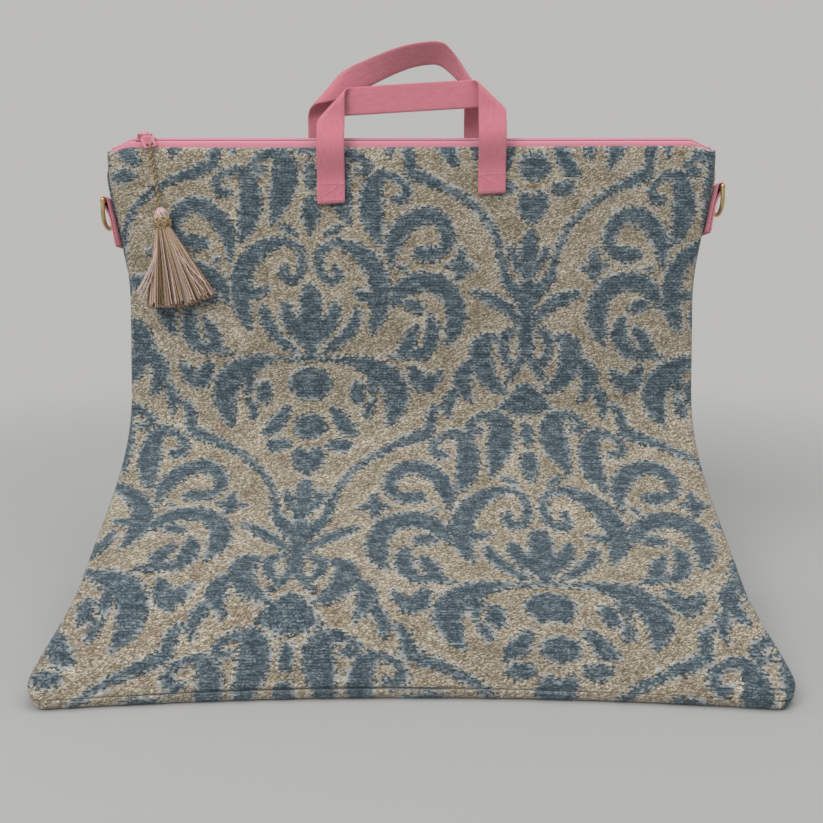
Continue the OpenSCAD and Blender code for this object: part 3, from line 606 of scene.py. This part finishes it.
gusset_levels = np.interp(np.linspace(base_t, bag_h, gusset_rows), front_line[:, 1], levels)
T, V = np.meshgrid(np.linspace(0, 1, gusset_cols), gusset_levels)
right_out, right_in = gusset_at(T, V, 0.0), gusset_at(T, V, gusset_t)
turned = np.array([-1, 1, 1])
for side, node in ((1, "right_gusset"), (-1, "left_gusset")):
    outer, inner = right_out, right_in
    if side < 0:
        outer, inner = (outer * turned)[:, ::-1], (inner * turned)[:, ::-1]
    across, down = outer[..., 1] * side, bag_h - outer[..., 2]
    gusset = cloth(node + "_cloth", outer, inner, across, down, damask, relief=0.5, wave=0.4)
    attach(gusset, "bag")
    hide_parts(node)

# Lining. A thin pink cotton bag, cut and seamed like the damask one and hung inside it.
# Its top edge is sewn in along the zip, and its bottom lies on the base.
lining_gap, lining_t, lining_ease, lining_top, lining_corner = 0.9, 1.2, 2.5, 316.5, 8.0


def speckle(tree, size, detail=2.0):
    where = put(tree, "ShaderNodeTexCoord").outputs["Object"]
    return put(tree, "ShaderNodeTexNoise", {"Vector": where, "Scale": size, "Detail": detail}).outputs[0]


def dye(tree, shader, factor, dark, light):
    tint = blended(tree, factor, (*dark, 1), (*light, 1))
    tree.links.new(tint, shader.inputs["Base Color"])


lining_pink, tree, shader = finish_of("lining_cotton", Roughness=0.85, Sheen_Weight=0.15)
dye(tree, shader, speckle(tree, 1400.0), (0.52, 0.30, 0.29), (0.74, 0.50, 0.47))


def lining_ring(v, inset, lift):
    z = float(front_yz(v)[1])
    edge = half_w(z) - (gusset_t + inset - wall + lining_ease)
    t = np.linspace(0, 1, 25)
    a, b = front_at(np.array(edge), v, inset), back_at(np.array(edge), v, inset)
    a0, b0 = front_at(np.array(half_w(z)), v, wall), back_at(np.array(half_w(z)), v, wall)
    side = mix(a, b, t[:, None])
    side[:, 0] += swell((side[:, 1] - a0[1]) / (b0[1] - a0[1]), z) - corner_in(side[:, 1] - lining_corner)
    x = np.linspace(-1, 1, 63)[1:-1] * (edge - float(corner_in(a[1] - lining_corner)))
    ring = np.vstack([front_at(x, v, inset), side, back_at(x[::-1], v, inset), (side * turned)[::-1]])
    return ring + np.array([0, 0, lift])


lining_levels = np.interp(np.linspace(base_t, lining_top, 60), front_line[:, 1], levels)


def lining_wall(lift):
    return [lining_ring(v, wall + lift, 0 if k else lift) for k, v in enumerate(lining_levels)]


def round_grid(rows, around):
    # The point numbers of a tube's rings, with each ring closed on itself.
    at = np.arange(rows * around).reshape(rows, around)
    return np.hstack([at, at[:, :1]])


out_rings, in_rings = lining_wall(lining_gap), lining_wall(lining_gap + lining_t)
rings, around = len(out_rings), len(out_rings[0])
points = np.vstack(out_rings + in_rings
                   + [[[0, 0, base_t + lining_gap]], [[0, 0, base_t + lining_gap + lining_t]]])
at = round_grid(rings, around)
top, under, middle = (rings - 1) * around, rings * around, 2 * rings * around
faces = quads(at) + quads(at + under, turned_over=True)
for i in range(around):
    k = (i + 1) % around
    faces += [(top + i, top + k, under + top + k, under + top + i), (k, i, middle),
              (under + i, under + k, middle + 1)]
lining = piece("lining_bag", points * MM, faces, lining_pink)
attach(lining, "bag")
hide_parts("lining")

# Zip tapes. Two woven pink tapes lie side by side on the bag's top, bend down and are sewn behind the
# panels; at both ends the zip dives into the side seams.
zip_turn = math.radians(25)
ridge = np.array([(front_top[0] + back_y(back_top)) / 2, (bag_h + back_top) / 2 + 3])
tape_t, flat_half, zip_gap, tape_tuck = 0.9, 4.8, 1.6, 4.0
zip_half, zip_drop = 221.5, 6.5


def zip_yz(y, z):
    c, s = math.cos(zip_turn), math.sin(zip_turn)
    return ridge + np.stack([y * c - z * s, y * s + z * c], -1)


zip_pink, tree, shader = finish_of("zip_tape", Roughness=0.75, Sheen_Weight=0.2)
where = put(tree, "ShaderNodeSeparateXYZ", {0: put(tree, "ShaderNodeUVMap", uv_map="cloth").outputs[0]})
twill = maths(tree, "SINE",
              maths(tree, "MULTIPLY", maths(tree, "ADD", where.outputs[0], where.outputs[1]), 620.0))
ridges = maths(tree, "SINE", maths(tree, "MULTIPLY", where.outputs[1], 780.0))
knit_relief_and_shade = maths(tree, "ADD", maths(tree, "MULTIPLY", twill, 0.5), maths(tree, "MULTIPLY", ridges, 0.5))
# Painted shade: the tape is lighter on the raised threads of its weave and darker in the grooves, the same
# pattern that the bump raises.
dye(tree, shader, scaled(tree, knit_relief_and_shade, 0.3, 0.5), (0.57, 0.185, 0.245), (0.72, 0.325, 0.385))
embossed(tree, shader, knit_relief_and_shade, 0.00012, 0.6)


def sleeve(name, rings, material):
    # A closed tube through rings of points, each anticlockwise as seen from its end.
    rings = np.asarray(rings)
    n, around = rings.shape[:2]
    faces = quads(round_grid(n, around))
    faces += [tuple(range(around))[::-1], tuple((n - 1) * around + i for i in range(around))]
    made = piece(name, rings.reshape(-1, 3) * MM, faces, material)
    step = np.linalg.norm(np.diff(rings, axis=1, append=rings[:, :1]), axis=2)
    over = np.concatenate([np.zeros((n, 1)), np.cumsum(step, 1)[:, :-1]], 1)
    uv_of(made, run_of(rings[:, 0])[:, None] + 0 * over, over)
    return made


def finely(points, step):
    # The same line with more points on it.
    points = np.asarray(points, float)
    fine = []
    for a, b in zip(points[:-1], points[1:]):
        n = max(1, int(round(np.linalg.norm(b - a) / step)))
        fine += [mix(a, b, i / n) for i in range(n)]
    return np.array(fine + [points[-1]])


zip_x = np.linspace(-zip_half, zip_half, 223)
foot_y = front_top[0] - tape_tuck * front_lean + wall * float(front_run(1.0)) + seam_gap
front_foot = np.array([foot_y, bag_h - tape_tuck])
foot_y = back_y(back_top - tape_tuck) - wall / math.cos(math.atan(back_run)) - seam_gap
back_foot = np.array([foot_y, back_top - tape_tuck])
thin, gap_half, bend = np.array([tape_t, 0]), zip_gap / 2, flat_half - tape_t / 2
front_cut = [zip_yz(-gap_half, 0.0), zip_yz(-flat_half + 0.5, 0.0), zip_yz(-flat_half, -0.2), front_foot,
             front_foot + thin, zip_yz(-bend, -tape_t), zip_yz(-gap_half, -tape_t), zip_yz(-gap_half, 0.0)]
back_cut = [zip_yz(gap_half, -tape_t), zip_yz(bend, -tape_t), back_foot - thin, back_foot,
            zip_yz(flat_half, -0.2), zip_yz(flat_half - 0.5, 0.0), zip_yz(gap_half, 0.0),
            zip_yz(gap_half, -tape_t)]
for node, cut in (("zip_tape_front", front_cut), ("zip_tape_back", back_cut)):
    cut = finely(cut, 0.9)[:-1][::-1]
    rings = [np.stack([0 * cut[:, 0] + x, cut[:, 0], cut[:, 1] - zip_drop * end_fall(x)], -1)
             for x in zip_x]
    tape = sleeve(node + "_ribbon", rings, zip_pink)
    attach(tape, "bag")
    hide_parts(node)

# Zip coils. A pink nylon thread is wound into a tight coil and sewn under the inner edge of each tape, so
# that only the tapes' edges show from outside.
coil_r, coil_turn, coil_thread = 0.9, 1.6, 0.3
coil_y, coil_z = zip_gap / 2 + coil_r + 0.1, -tape_t - coil_r - 0.1
nylon, tree, shader = finish_of("zip_coil", Roughness=0.4, Coat_Weight=0.1)
dye(tree, shader, speckle(tree, 300.0), (0.52, 0.15, 0.20), (0.70, 0.26, 0.31))


def sewing_tree(name, sockets):
    made = bpy.data.node_groups.new(name, "GeometryNodeTree")
    made.interface.new_socket("Lines", in_out="INPUT", socket_type="NodeSocketGeometry")
    for label, kind in sockets:
        made.interface.new_socket(label, in_out="INPUT", socket_type=kind)
    made.interface.new_socket("Pieces", in_out="OUTPUT", socket_type="NodeSocketGeometry")
    given = put(made, "NodeGroupInput").outputs
    return made, given


def end_tree(made, geometry, material):
    real = put(made, "GeometryNodeRealizeInstances", {"Geometry": geometry})
    dyed = put(made, "GeometryNodeSetMaterial", {"Geometry": real.outputs[0], "Material": material})
    smoothed = put(made, "GeometryNodeSetShadeSmooth", {"Geometry": dyed.outputs[0]})
    put(made, "NodeGroupOutput", {"Pieces": smoothed.outputs[0]})


thread_tree, given = sewing_tree("threads", [
    ("Thread radius", "NodeSocketFloat"), ("Sides", "NodeSocketInt"), ("Thread", "NodeSocketMaterial")])
ring = put(thread_tree, "GeometryNodeCurvePrimitiveCircle",
           {"Radius": given["Thread radius"], "Resolution": given["Sides"]})
swept = put(thread_tree, "GeometryNodeCurveToMesh",
            {"Curve": given["Lines"], "Profile Curve": ring.outputs[0], "Fill Caps": True})
end_tree(thread_tree, swept.outputs[0], given["Thread"])


def grow(name, lines, tree, cyclic=False, **values):
    # Draws the lines as a curve, lets the node tree work on it and keeps the mesh it makes.
    drawn = bpy.data.curves.new(name, "CURVE")
    drawn.dimensions = "3D"
    for line in lines:
        line = np.asarray(line, float) * MM
        spline = drawn.splines.new("POLY")
        spline.points.add(len(line) - 1)
        spline.points.foreach_set("co", np.hstack([line, np.ones((len(line), 1))]).ravel())
        spline.use_cyclic_u = cyclic
    holder = bpy.data.objects.new(name + "_lines", drawn)
    scene.collection.objects.link(holder)
    worker = holder.modifiers.new("work", "NODES")
    worker.node_group = tree
    for socket in tree.interface.items_tree:
        key = socket.name.replace(" ", "_").lower()
        if key in values:
            worker[socket.identifier] = values[key]
    bpy.context.view_layer.update()
    mesh = bpy.data.meshes.new_from_object(holder.evaluated_get(bpy.context.evaluated_depsgraph_get()))
    mesh.name = name
    bpy.data.objects.remove(holder)
    bpy.data.curves.remove(drawn)
    made = bpy.data.objects.new(name, mesh)
    scene.collection.objects.link(made)
    return made


for node, side in (("zip_coil_front", -1), ("zip_coil_back", 1)):
    a = np.arange(0, 2 * zip_half / coil_turn * 2 * math.pi, math.pi / 4)
    x = -zip_half + a / (2 * math.pi) * coil_turn
    wind_r = coil_r - coil_thread
    wound = zip_yz(side * coil_y + wind_r * np.cos(a), coil_z + wind_r * np.sin(a))
    line = np.stack([x, wound[:, 0], wound[:, 1] - zip_drop * end_fall(x)], -1)
    coil = grow(node + "_thread", [line], thread_tree, thread_radius=coil_thread * MM, sides=5,
                thread=nylon)
    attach(coil, "bag")
    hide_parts(node)

# Zip slider and pull. Cast zinc, sprayed the same pink; the pull's face is ribbed and its end is cut out
# for the loop of thread. They keep their constructed shape and get the glossy paint.
paint, tree, shader = finish_of("zip_paint", Roughness=0.32, Coat_Weight=0.4, Coat_Roughness=0.15)
dye(tree, shader, speckle(tree, 220.0), (0.52, 0.18, 0.235), (0.66, 0.27, 0.325))
for node in ("zip_slider", "zip_pull"):
    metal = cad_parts[node]
    metal.data.materials.clear()
    metal.data.materials.append(paint)

# Handles. Each is one length of pink cotton webbing: the ends turned under and tacked to the panel, the
# corners folded over at forty-five degrees. The rear handle stands higher, arches up and rolls towards
# the front.
web_w, web_t, leg_x, leg_low, tack_h, turn_r = 20.0, 1.4, 58.5, 290.0, 14.0, 0.85
stand_off, front_belly, back_belly, strap_slope = 2.7, 6, 2, 0.06
webbing, tree, shader = finish_of("webbing", Roughness=0.85, Sheen_Weight=0.25)
where = put(tree, "ShaderNodeSeparateXYZ", {0: put(tree, "ShaderNodeUVMap", uv_map="cloth").outputs[0]})
along = maths(tree, "MULTIPLY", where.outputs[0], 100.0)
across = maths(tree, "MULTIPLY", where.outputs[1], 100.0)
chevron = maths(tree, "PINGPONG", across, 2.5)
twill = maths(tree, "SINE", maths(tree, "MULTIPLY", maths(tree, "ADD", along, chevron), 2 * math.pi / 1.25))
cords = maths(tree, "SINE", maths(tree, "MULTIPLY", across, 2 * math.pi / 0.8))
weave = maths(tree, "ADD", maths(tree, "MULTIPLY", twill, 0.65), maths(tree, "MULTIPLY", cords, 0.35))
spots = put(tree, "ShaderNodeCombineXYZ", {0: maths(tree, "MULTIPLY", along, 0.12), 1: across})
worn = put(tree, "ShaderNodeTexNoise", {"Vector": spots.outputs[0], "Scale": 1.0, "Detail": 3.0})
# Painted shade: the strap is lighter on the raised threads of its weave and darker in the grooves, the same
# weave that the bump raises.
tone = maths(tree, "ADD", scaled(tree, weave, 0.2, 0.1), maths(tree, "MULTIPLY", worn.outputs[0], 0.75))
dye(tree, shader, tone, (0.49, 0.138, 0.180), (0.78, 0.290, 0.34))
embossed(tree, shader, weave, 0.0002, 0.7)


def ribbon(name, mids, thick, material):
    # A flat strap with soft edges around a grid of middle points, rows along it and columns across it.
    along, over = np.gradient(mids, axis=0), np.gradient(mids, axis=1)
    out = np.cross(along, over)
    out /= np.linalg.norm(out, axis=-1, keepdims=True)
    rows, cols = mids.shape[:2]
    soft = np.ones(cols)
    soft[[0, -1]], soft[[1, -2]] = 0.45, 0.85
    off = out * (thick / 2 * soft)[None, :, None]
    upper, lower = mids + off, mids - off
    at = np.arange(rows * cols).reshape(rows, cols)
    under = at + rows * cols
    faces = quads(at, turned_over=True) + quads(under)
    rim = np.concatenate([at[0, :-1], at[:-1, -1], at[-1, :0:-1], at[:0:-1, 0]])
    for a, b in zip(rim, np.roll(rim, -1)):
        faces.append([int(a), int(b), int(b) + rows * cols, int(a) + rows * cols])
    made = piece(name, np.vstack([upper.reshape(-1, 3), lower.reshape(-1, 3)]) * MM, faces, material)
    run, wide = np.meshgrid(run_of(mids[:, cols // 2]), run_of(mids[rows // 2]), indexing="ij")
    uv_of(made, np.tile(run.ravel(), 2), np.tile(wide.ravel(), 2))
    return made


def strap_mid(s, w, side, bar_h, curl, arch, roll_by, crest):
    corner = ridge[1] + bar_h - math.pi * curl / math.sqrt(2)
    total = 2 * (corner - leg_low + leg_x + math.pi * curl / math.sqrt(2))
    right = s > total / 2
    s = np.where(right, total - s, s)

    def face(z):
        t = np.clip((z - leg_low - tack_h) / (corner - leg_low - tack_h), 0, 1)
        line = front_top[0] + (z - bag_h) * front_lean if side > 0 else back_y(z)
        belly = front_belly if side > 0 else back_belly
        return line - side * (stand_off + belly * np.sin(math.pi * t) ** 2)

    h = leg_low + s - corner
    q, p = (h - w) / math.sqrt(2), (h + w) / math.sqrt(2)
    a = np.clip(q / curl, 0, math.pi)
    out = np.where(q < 0, q, np.where(q < math.pi * curl, curl * np.sin(a), math.pi * curl - q))
    x, z = (p - out) / math.sqrt(2) - leg_x, corner + (p + out) / math.sqrt(2)
    signed = np.where(right, -x, x)
    near = np.where(signed < crest, (crest - signed) / (leg_x + crest), (signed - crest) / (leg_x - crest))
    near = (1 - smooth(near) ** 1.15) * a / math.pi
    tip = math.radians(roll_by) * near
    y = face(z) + side * (curl * (1 - np.cos(a)) + w * np.sin(tip))
    z = z + arch * near - w * (1 - np.cos(tip))
    turn_l = math.pi * turn_r
    b = -s / turn_r
    turned_z = leg_low - turn_r * np.sin(b)
    ply_z = leg_low - s - turn_l
    y = np.where(s < 0, face(leg_low) + side * turn_r * (1 - np.cos(b)), y)
    y = np.where(s < -turn_l, face(ply_z) + side * 2 * turn_r, y)
    z = np.where(s < -turn_l, ply_z, np.where(s < 0, turned_z, z))
    x = np.where(s < 0, w - leg_x, x)
    return np.stack([np.where(right, -x, x), y, z], -1), total


stitch_tree, given = sewing_tree("stitches", [
    ("Pitch", "NodeSocketFloat"), ("Thread radius", "NodeSocketFloat"), ("Thread", "NodeSocketMaterial")])
steps = put(stitch_tree, "GeometryNodeCurveToPoints", {"Curve": given["Lines"], "Length": given["Pitch"]},
            mode="LENGTH")
bead = put(stitch_tree, "GeometryNodeMeshUVSphere", {"Segments": 6, "Rings": 4, "Radius": 1.0})
lie = put(stitch_tree, "FunctionNodeAlignRotationToVector", {"Vector": steps.outputs["Tangent"]}, axis="Z")
half_pitch = put(stitch_tree, "ShaderNodeMath", {0: given["Pitch"], 1: 0.42}, operation="MULTIPLY")
shape = put(stitch_tree, "ShaderNodeCombineXYZ",
            {0: given["Thread radius"], 1: given["Thread radius"], 2: half_pitch.outputs[0]})
laid = put(stitch_tree, "GeometryNodeInstanceOnPoints",
           {"Points": steps.outputs["Points"], "Instance": bead.outputs[0],
            "Rotation": lie.outputs[0], "Scale": shape.outputs[0]})
end_tree(stitch_tree, laid.outputs[0], given["Thread"])
sewing_pink, tree, shader = finish_of("sewing_thread", Roughness=0.5, Sheen_Weight=0.2)
dye(tree, shader, speckle(tree, 900.0), (0.60, 0.23, 0.28), (0.86, 0.46, 0.49))
for node, side, bar_h, curl, arch, roll_by, shift, crest in (
        ("front_handle", 1, 30, 3.5, 0, 0, 0, 0), ("back_handle", -1, 40, 6.75, 20, 46, -9, 24)):
    lean = front_lean if side > 0 else back_run

    def placed(s, w):
        mids, total = strap_mid(s, w, side, bar_h, curl, arch, roll_by, crest)
        rise = strap_slope * mids[..., 0]
        return mids + np.stack([0 * rise + shift, rise * lean, rise], -1), total

    total = placed(np.array(0.0), np.array(0.0))[1]
    bent, step = -math.pi * turn_r, 0.8
    ends = np.concatenate([np.arange(bent - tack_h, bent, 1.0), np.linspace(bent, 0, 8),
                           np.arange(step, total / 2, step)])
    s = np.concatenate([ends, [total / 2], (total - ends)[::-1]])
    S, W = np.meshgrid(s, np.linspace(-web_w / 2, web_w / 2, 23), indexing="ij")
    mids = placed(S, W)[0]
    handle = ribbon(node + "_strap", mids, web_t, webbing)
    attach(handle, "bag")
    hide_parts(node)
    lines = []
    for mirror in (False, True):
        for a, b in (((tack_h - 1, -9), (tack_h - 1, 9)), ((tack_h - 2, 8.5), (2.5, -8.5)),
                     ((1.6, -8.5), (1.6, 8.5))):
            a, b = np.array(a, float), np.array(b, float)
            count = int(np.linalg.norm(b - a) / 1.1)
            way = mix(a, b, np.linspace(0, 1, count)[:, None])
            way[1::2] += 0.85 * np.array([a[1] - b[1], b[0] - a[0]]) / np.linalg.norm(b - a)
            line = placed(total - way[:, 0] if mirror else way[:, 0], way[:, 1])[0]
            lines.append(line + np.array([0, -side * (web_t / 2 + 0.12), 0]))
    sewn = grow(node + "_stitches", lines, stitch_tree, pitch=1.38 * MM, thread_radius=0.3 * MM,
                thread=sewing_pink)
    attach(sewn, "bag")

# Ring tabs and D-rings. A short end of the same webbing is folded over the bar of each brass ring and sewn
# flat to the gusset; the bent wire rings swing in the folds.
brass, tree, shader = finish_of("ring_brass", Metallic=1.0, Roughness=0.24)
dye(tree, shader, speckle(tree, 160.0, 3.0), (0.50, 0.36, 0.16), (0.80, 0.64, 0.36))
loop_in, tab_l, merge_l, tab_cols = 1.8, 34.0, 9.0, 21
loop_mid = loop_in + web_t / 2


def turn_about(axis, degrees):
    a = math.radians(degrees)
    c, s = math.cos(a), math.sin(a)
    if axis == "x":
        return np.array([[1, 0, 0], [0, c, -s], [0, s, c]])
    return np.array([[c, 0, s], [0, 1, 0], [-s, 0, c]])


arc = np.radians(np.linspace(180, 0, 25))
up = [(-loop_mid - 1.3, -tab_l), (-loop_mid - 0.9, -merge_l - 4), (-loop_mid - 0.2, -merge_l + 3)]
over = np.stack([loop_mid * np.cos(arc), loop_mid * np.sin(arc)], -1)
down_again = [(0.1 - loop_mid + web_t, -merge_l + 1), (-loop_mid - 0.9 + web_t, -merge_l - 4),
              (-loop_mid - 1.3 + web_t, -tab_l)]
fold = finely(np.vstack([up, over, down_again]), 0.8)
tab_lean = 8.537
for name, side, bar, slope in (("right", 1, (226.04, 126.118, 296), 9.152),
                               ("left", -1, (224.442, 124.617, 286), 10.311)):
    placing = turn_about("y", slope) @ turn_about("x", -tab_lean)
    fold_x, w = np.meshgrid(fold[:, 0], np.linspace(-web_w / 2, web_w / 2, tab_cols), indexing="ij")
    flat = np.stack([fold_x, w, np.repeat(fold[:, 1][:, None], tab_cols, 1)], -1)
    mids = (flat @ placing.T + np.array(bar)) * np.array([side, 1, 1])
    tab = ribbon(name + "_tab_strap", mids[:, ::-side], web_t, webbing)
    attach(tab, "bag")
    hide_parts(name + "_ring_tab")
    face_x = -loop_mid + 1.5 * web_t - 1.0
    high, low = -merge_l - 4, -tab_l + 3
    box = np.array([(-8, high), (8, high), (8, low), (-8, low), (-8, high)], float)
    lines = []
    for a, b in zip(box[:-1], box[1:]):
        way = mix(a, b, np.linspace(0, 1, 10)[:, None])
        line = np.stack([0 * way[:, 0] + face_x, way[:, 0], way[:, 1]], -1)
        lines.append((line @ placing.T + np.array(bar)) * np.array([side, 1, 1]))
    sewn = grow(name + "_tab_stitches", lines, stitch_tree, pitch=2.4 * MM, thread_radius=0.3 * MM,
                thread=sewing_pink)
    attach(sewn, "bag")
    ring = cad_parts[name + "_d_ring"]
    ring.data.materials.clear()
    ring.data.materials.append(brass)

# Tassel. Rayon threads in rose, tan and brown hang below a braided gold knot; a cord twisted from a gold
# and a brown ply runs up from its head to a loop of thread round the zip pull's bar.
chance = random.Random(11)
hang = np.array([-189.132, 117.741, 325.43])
cord_path = hang + np.array([(0, 0, -3.5), (1, -1, -9.5), (2, -2.4, -15.5), (3, -3.8, -21.5),
                             (4, -5.2, -27.5), (5, -6.6, -33.5), (6, -8.2, -39.5), (7, -9.4, -43.5)])
tassel_top = cord_path[-1]
tassel_turn = turn_about("x", -9.6665) @ turn_about("y", -9)
back_press = 0.7


def on_tassel(points):
    placed = np.array(points, float)
    behind = placed[..., 1] > 0
    placed[..., 1] = np.where(behind, back_press * placed[..., 1], placed[..., 1])
    return placed @ tassel_turn.T + tassel_top


def satin(name, dark, light, rough):
    made, tree, shader = finish_of(name, Roughness=rough, Sheen_Weight=0.1, Anisotropic=0.4)
    where = put(tree, "ShaderNodeTexCoord").outputs["Object"]
    stretched = put(tree, "ShaderNodeMapping", {"Vector": where, "Scale": (1600.0, 1600.0, 120.0)})
    shade = put(tree, "ShaderNodeTexNoise", {"Vector": stretched.outputs[0], "Scale": 1.0, "Detail": 2.0})
    dye(tree, shader, shade.outputs[0], dark, light)
    return made


gold_thread = satin("gold_thread", (0.26, 0.17, 0.065), (0.60, 0.43, 0.22), 0.36)
rose_thread = satin("rose_thread", (0.36, 0.25, 0.22), (0.78, 0.60, 0.55), 0.30)
tan_thread = satin("tan_thread", (0.26, 0.155, 0.075), (0.56, 0.40, 0.25), 0.36)
brown_thread = satin("brown_thread", (0.075, 0.04, 0.016), (0.24, 0.14, 0.06), 0.38)

cord_d, cord_pitch, ply_off, ply_r = 2.2, 5.2, 0.52, 0.58
cord_steps = run_of(cord_path)
fine = np.linspace(0, cord_steps[-1], 150)
middle = np.stack([np.interp(fine, cord_steps, cord_path[:, k]) for k in range(3)], -1)
way = np.gradient(middle, axis=0)
way /= np.linalg.norm(way, axis=1, keepdims=True)
side_way = np.cross(way, [0, 1, 0])
side_way /= np.linalg.norm(side_way, axis=1, keepdims=True)
other_way = np.cross(way, side_way)
for name, start, satin_thread in (("tassel_cord_twist", 0, gold_thread),
                                  ("tassel_cord_dark_ply", math.pi, brown_thread)):
    a = fine / cord_pitch * 2 * math.pi + start
    line = middle + ply_off * (np.cos(a)[:, None] * side_way + np.sin(a)[:, None] * other_way)
    ply = grow(name, [line], thread_tree, thread_radius=ply_r * MM, sides=7, thread=satin_thread)
    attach(ply, "tassel")
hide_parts("tassel_cord")

loop_r, loop_ply, loop_twists = 2.05, 0.36, 7
lines = []
for start in (0, math.pi):
    a = np.linspace(0, 2 * math.pi, 61)[:-1]
    b = a * loop_twists + start
    r = loop_r + loop_ply * np.sin(b)
    lines.append(np.stack([hang[0] + loop_ply * np.cos(b), hang[1] + r * np.cos(a),
                           hang[2] + r * np.sin(a)], -1))
loop = grow("tassel_loop_twist", lines, thread_tree, cyclic=True, thread_radius=0.42 * MM, sides=6,
            thread=gold_thread)
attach(loop, "loop")
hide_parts("tassel_loop")


def head_line(start, twist, proud):
    t = np.linspace(0, 1, 15)
    r = 0.5 + (3.9 + proud) * np.sin(math.pi * np.minimum(1, t * 2.2) / 2) - 0.6 * t * t
    a = start + twist * t
    return on_tassel(np.stack([r * np.cos(a), r * np.sin(a), -0.2 - 15 * t ** 1.3], -1))


head_count = 15
lines = [head_line(2 * math.pi * k / head_count + chance.uniform(-0.1, 0.1), 1.5, 0.3 * (k % 2))
         for k in range(head_count)]
head = grow("tassel_head_threads", lines, thread_tree, thread_radius=0.88 * MM, sides=6, thread=rose_thread)
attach(head, "tassel")
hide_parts("tassel_head")
lines = [head_line(start, -1.9, 0.9) for start in (0.9, 3.2, 4.3)]
head_gold = grow("tassel_head_gold", lines, thread_tree, thread_radius=0.55 * MM, sides=6,
                 thread=gold_thread)
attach(head_gold, "tassel")

leads, bights = 3, 7
a = np.linspace(0, leads * 2 * math.pi, 241)[:-1]
b = a * bights / leads
r = 5.2 + 0.7 * np.cos(2 * b)
knot_z, knot_h = -11.3, 2.9
for name, places, satin_thread in (("tassel_knot_braid", (-1.0, 1.0), gold_thread),
                                   ("tassel_knot_dark", (0.0,), brown_thread)):
    lines = [on_tassel(np.stack([r * np.cos(a), r * np.sin(a), knot_z + knot_h * np.sin(b) + z], -1))
             for z in places]
    braid = grow(name, lines, thread_tree, cyclic=True, thread_radius=ply_r * MM, sides=6,
                 thread=satin_thread)
    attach(braid, "tassel")
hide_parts("tassel_knot")

skirt_l, skirt_swing, strand_count, stray_count = 57.0, 4.0, 440, 9
strands = {"rose": [], "tan": [], "brown": []}
for k in range(strand_count):
    a, depth = chance.uniform(0, 2 * math.pi), math.sqrt(chance.uniform(0.0, 1.0))
    low, stray = skirt_l * chance.uniform(0.95, 1.02), chance.gauss(0, 0.9)
    t = np.linspace(0, 1, 8)
    open_x = mix(5.0, 25.5, t ** 0.95)
    open_y = mix(4.6, 7.6 if math.sin(a) < 0 else 4.2, t)
    x = depth * np.cos(a) * open_x + stray * np.sin(math.pi * t) * 0.5 + skirt_swing * t
    y = depth * np.sin(a) * open_y
    lift = 1 - 0.075 * (depth * math.cos(a)) ** 2
    line = on_tassel(np.stack([x, y, -14.8 - low * lift * t], -1))
    strands[chance.choices(("rose", "tan", "brown"), (0.44, 0.33, 0.23))[0]].append(line)
for k in range(stray_count):
    side = -1 if k < 6 else 1
    t = np.linspace(0, 1, 9)
    wide = side * chance.uniform(19, 22.5)
    low = chance.uniform(40, 52)
    line = on_tassel(np.stack([side * 3.2 + wide * t ** 1.7, -3.0 - 2.5 * t, -15 - low * t], -1))
    strands["rose"].append(line)
for tone, satin_thread in (("rose", rose_thread), ("tan", tan_thread), ("brown", brown_thread)):
    made = grow("tassel_skirt_" + tone, strands[tone], thread_tree, thread_radius=0.5 * MM, sides=5,
                thread=satin_thread)
    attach(made, "tassel")
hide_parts("tassel_skirt")
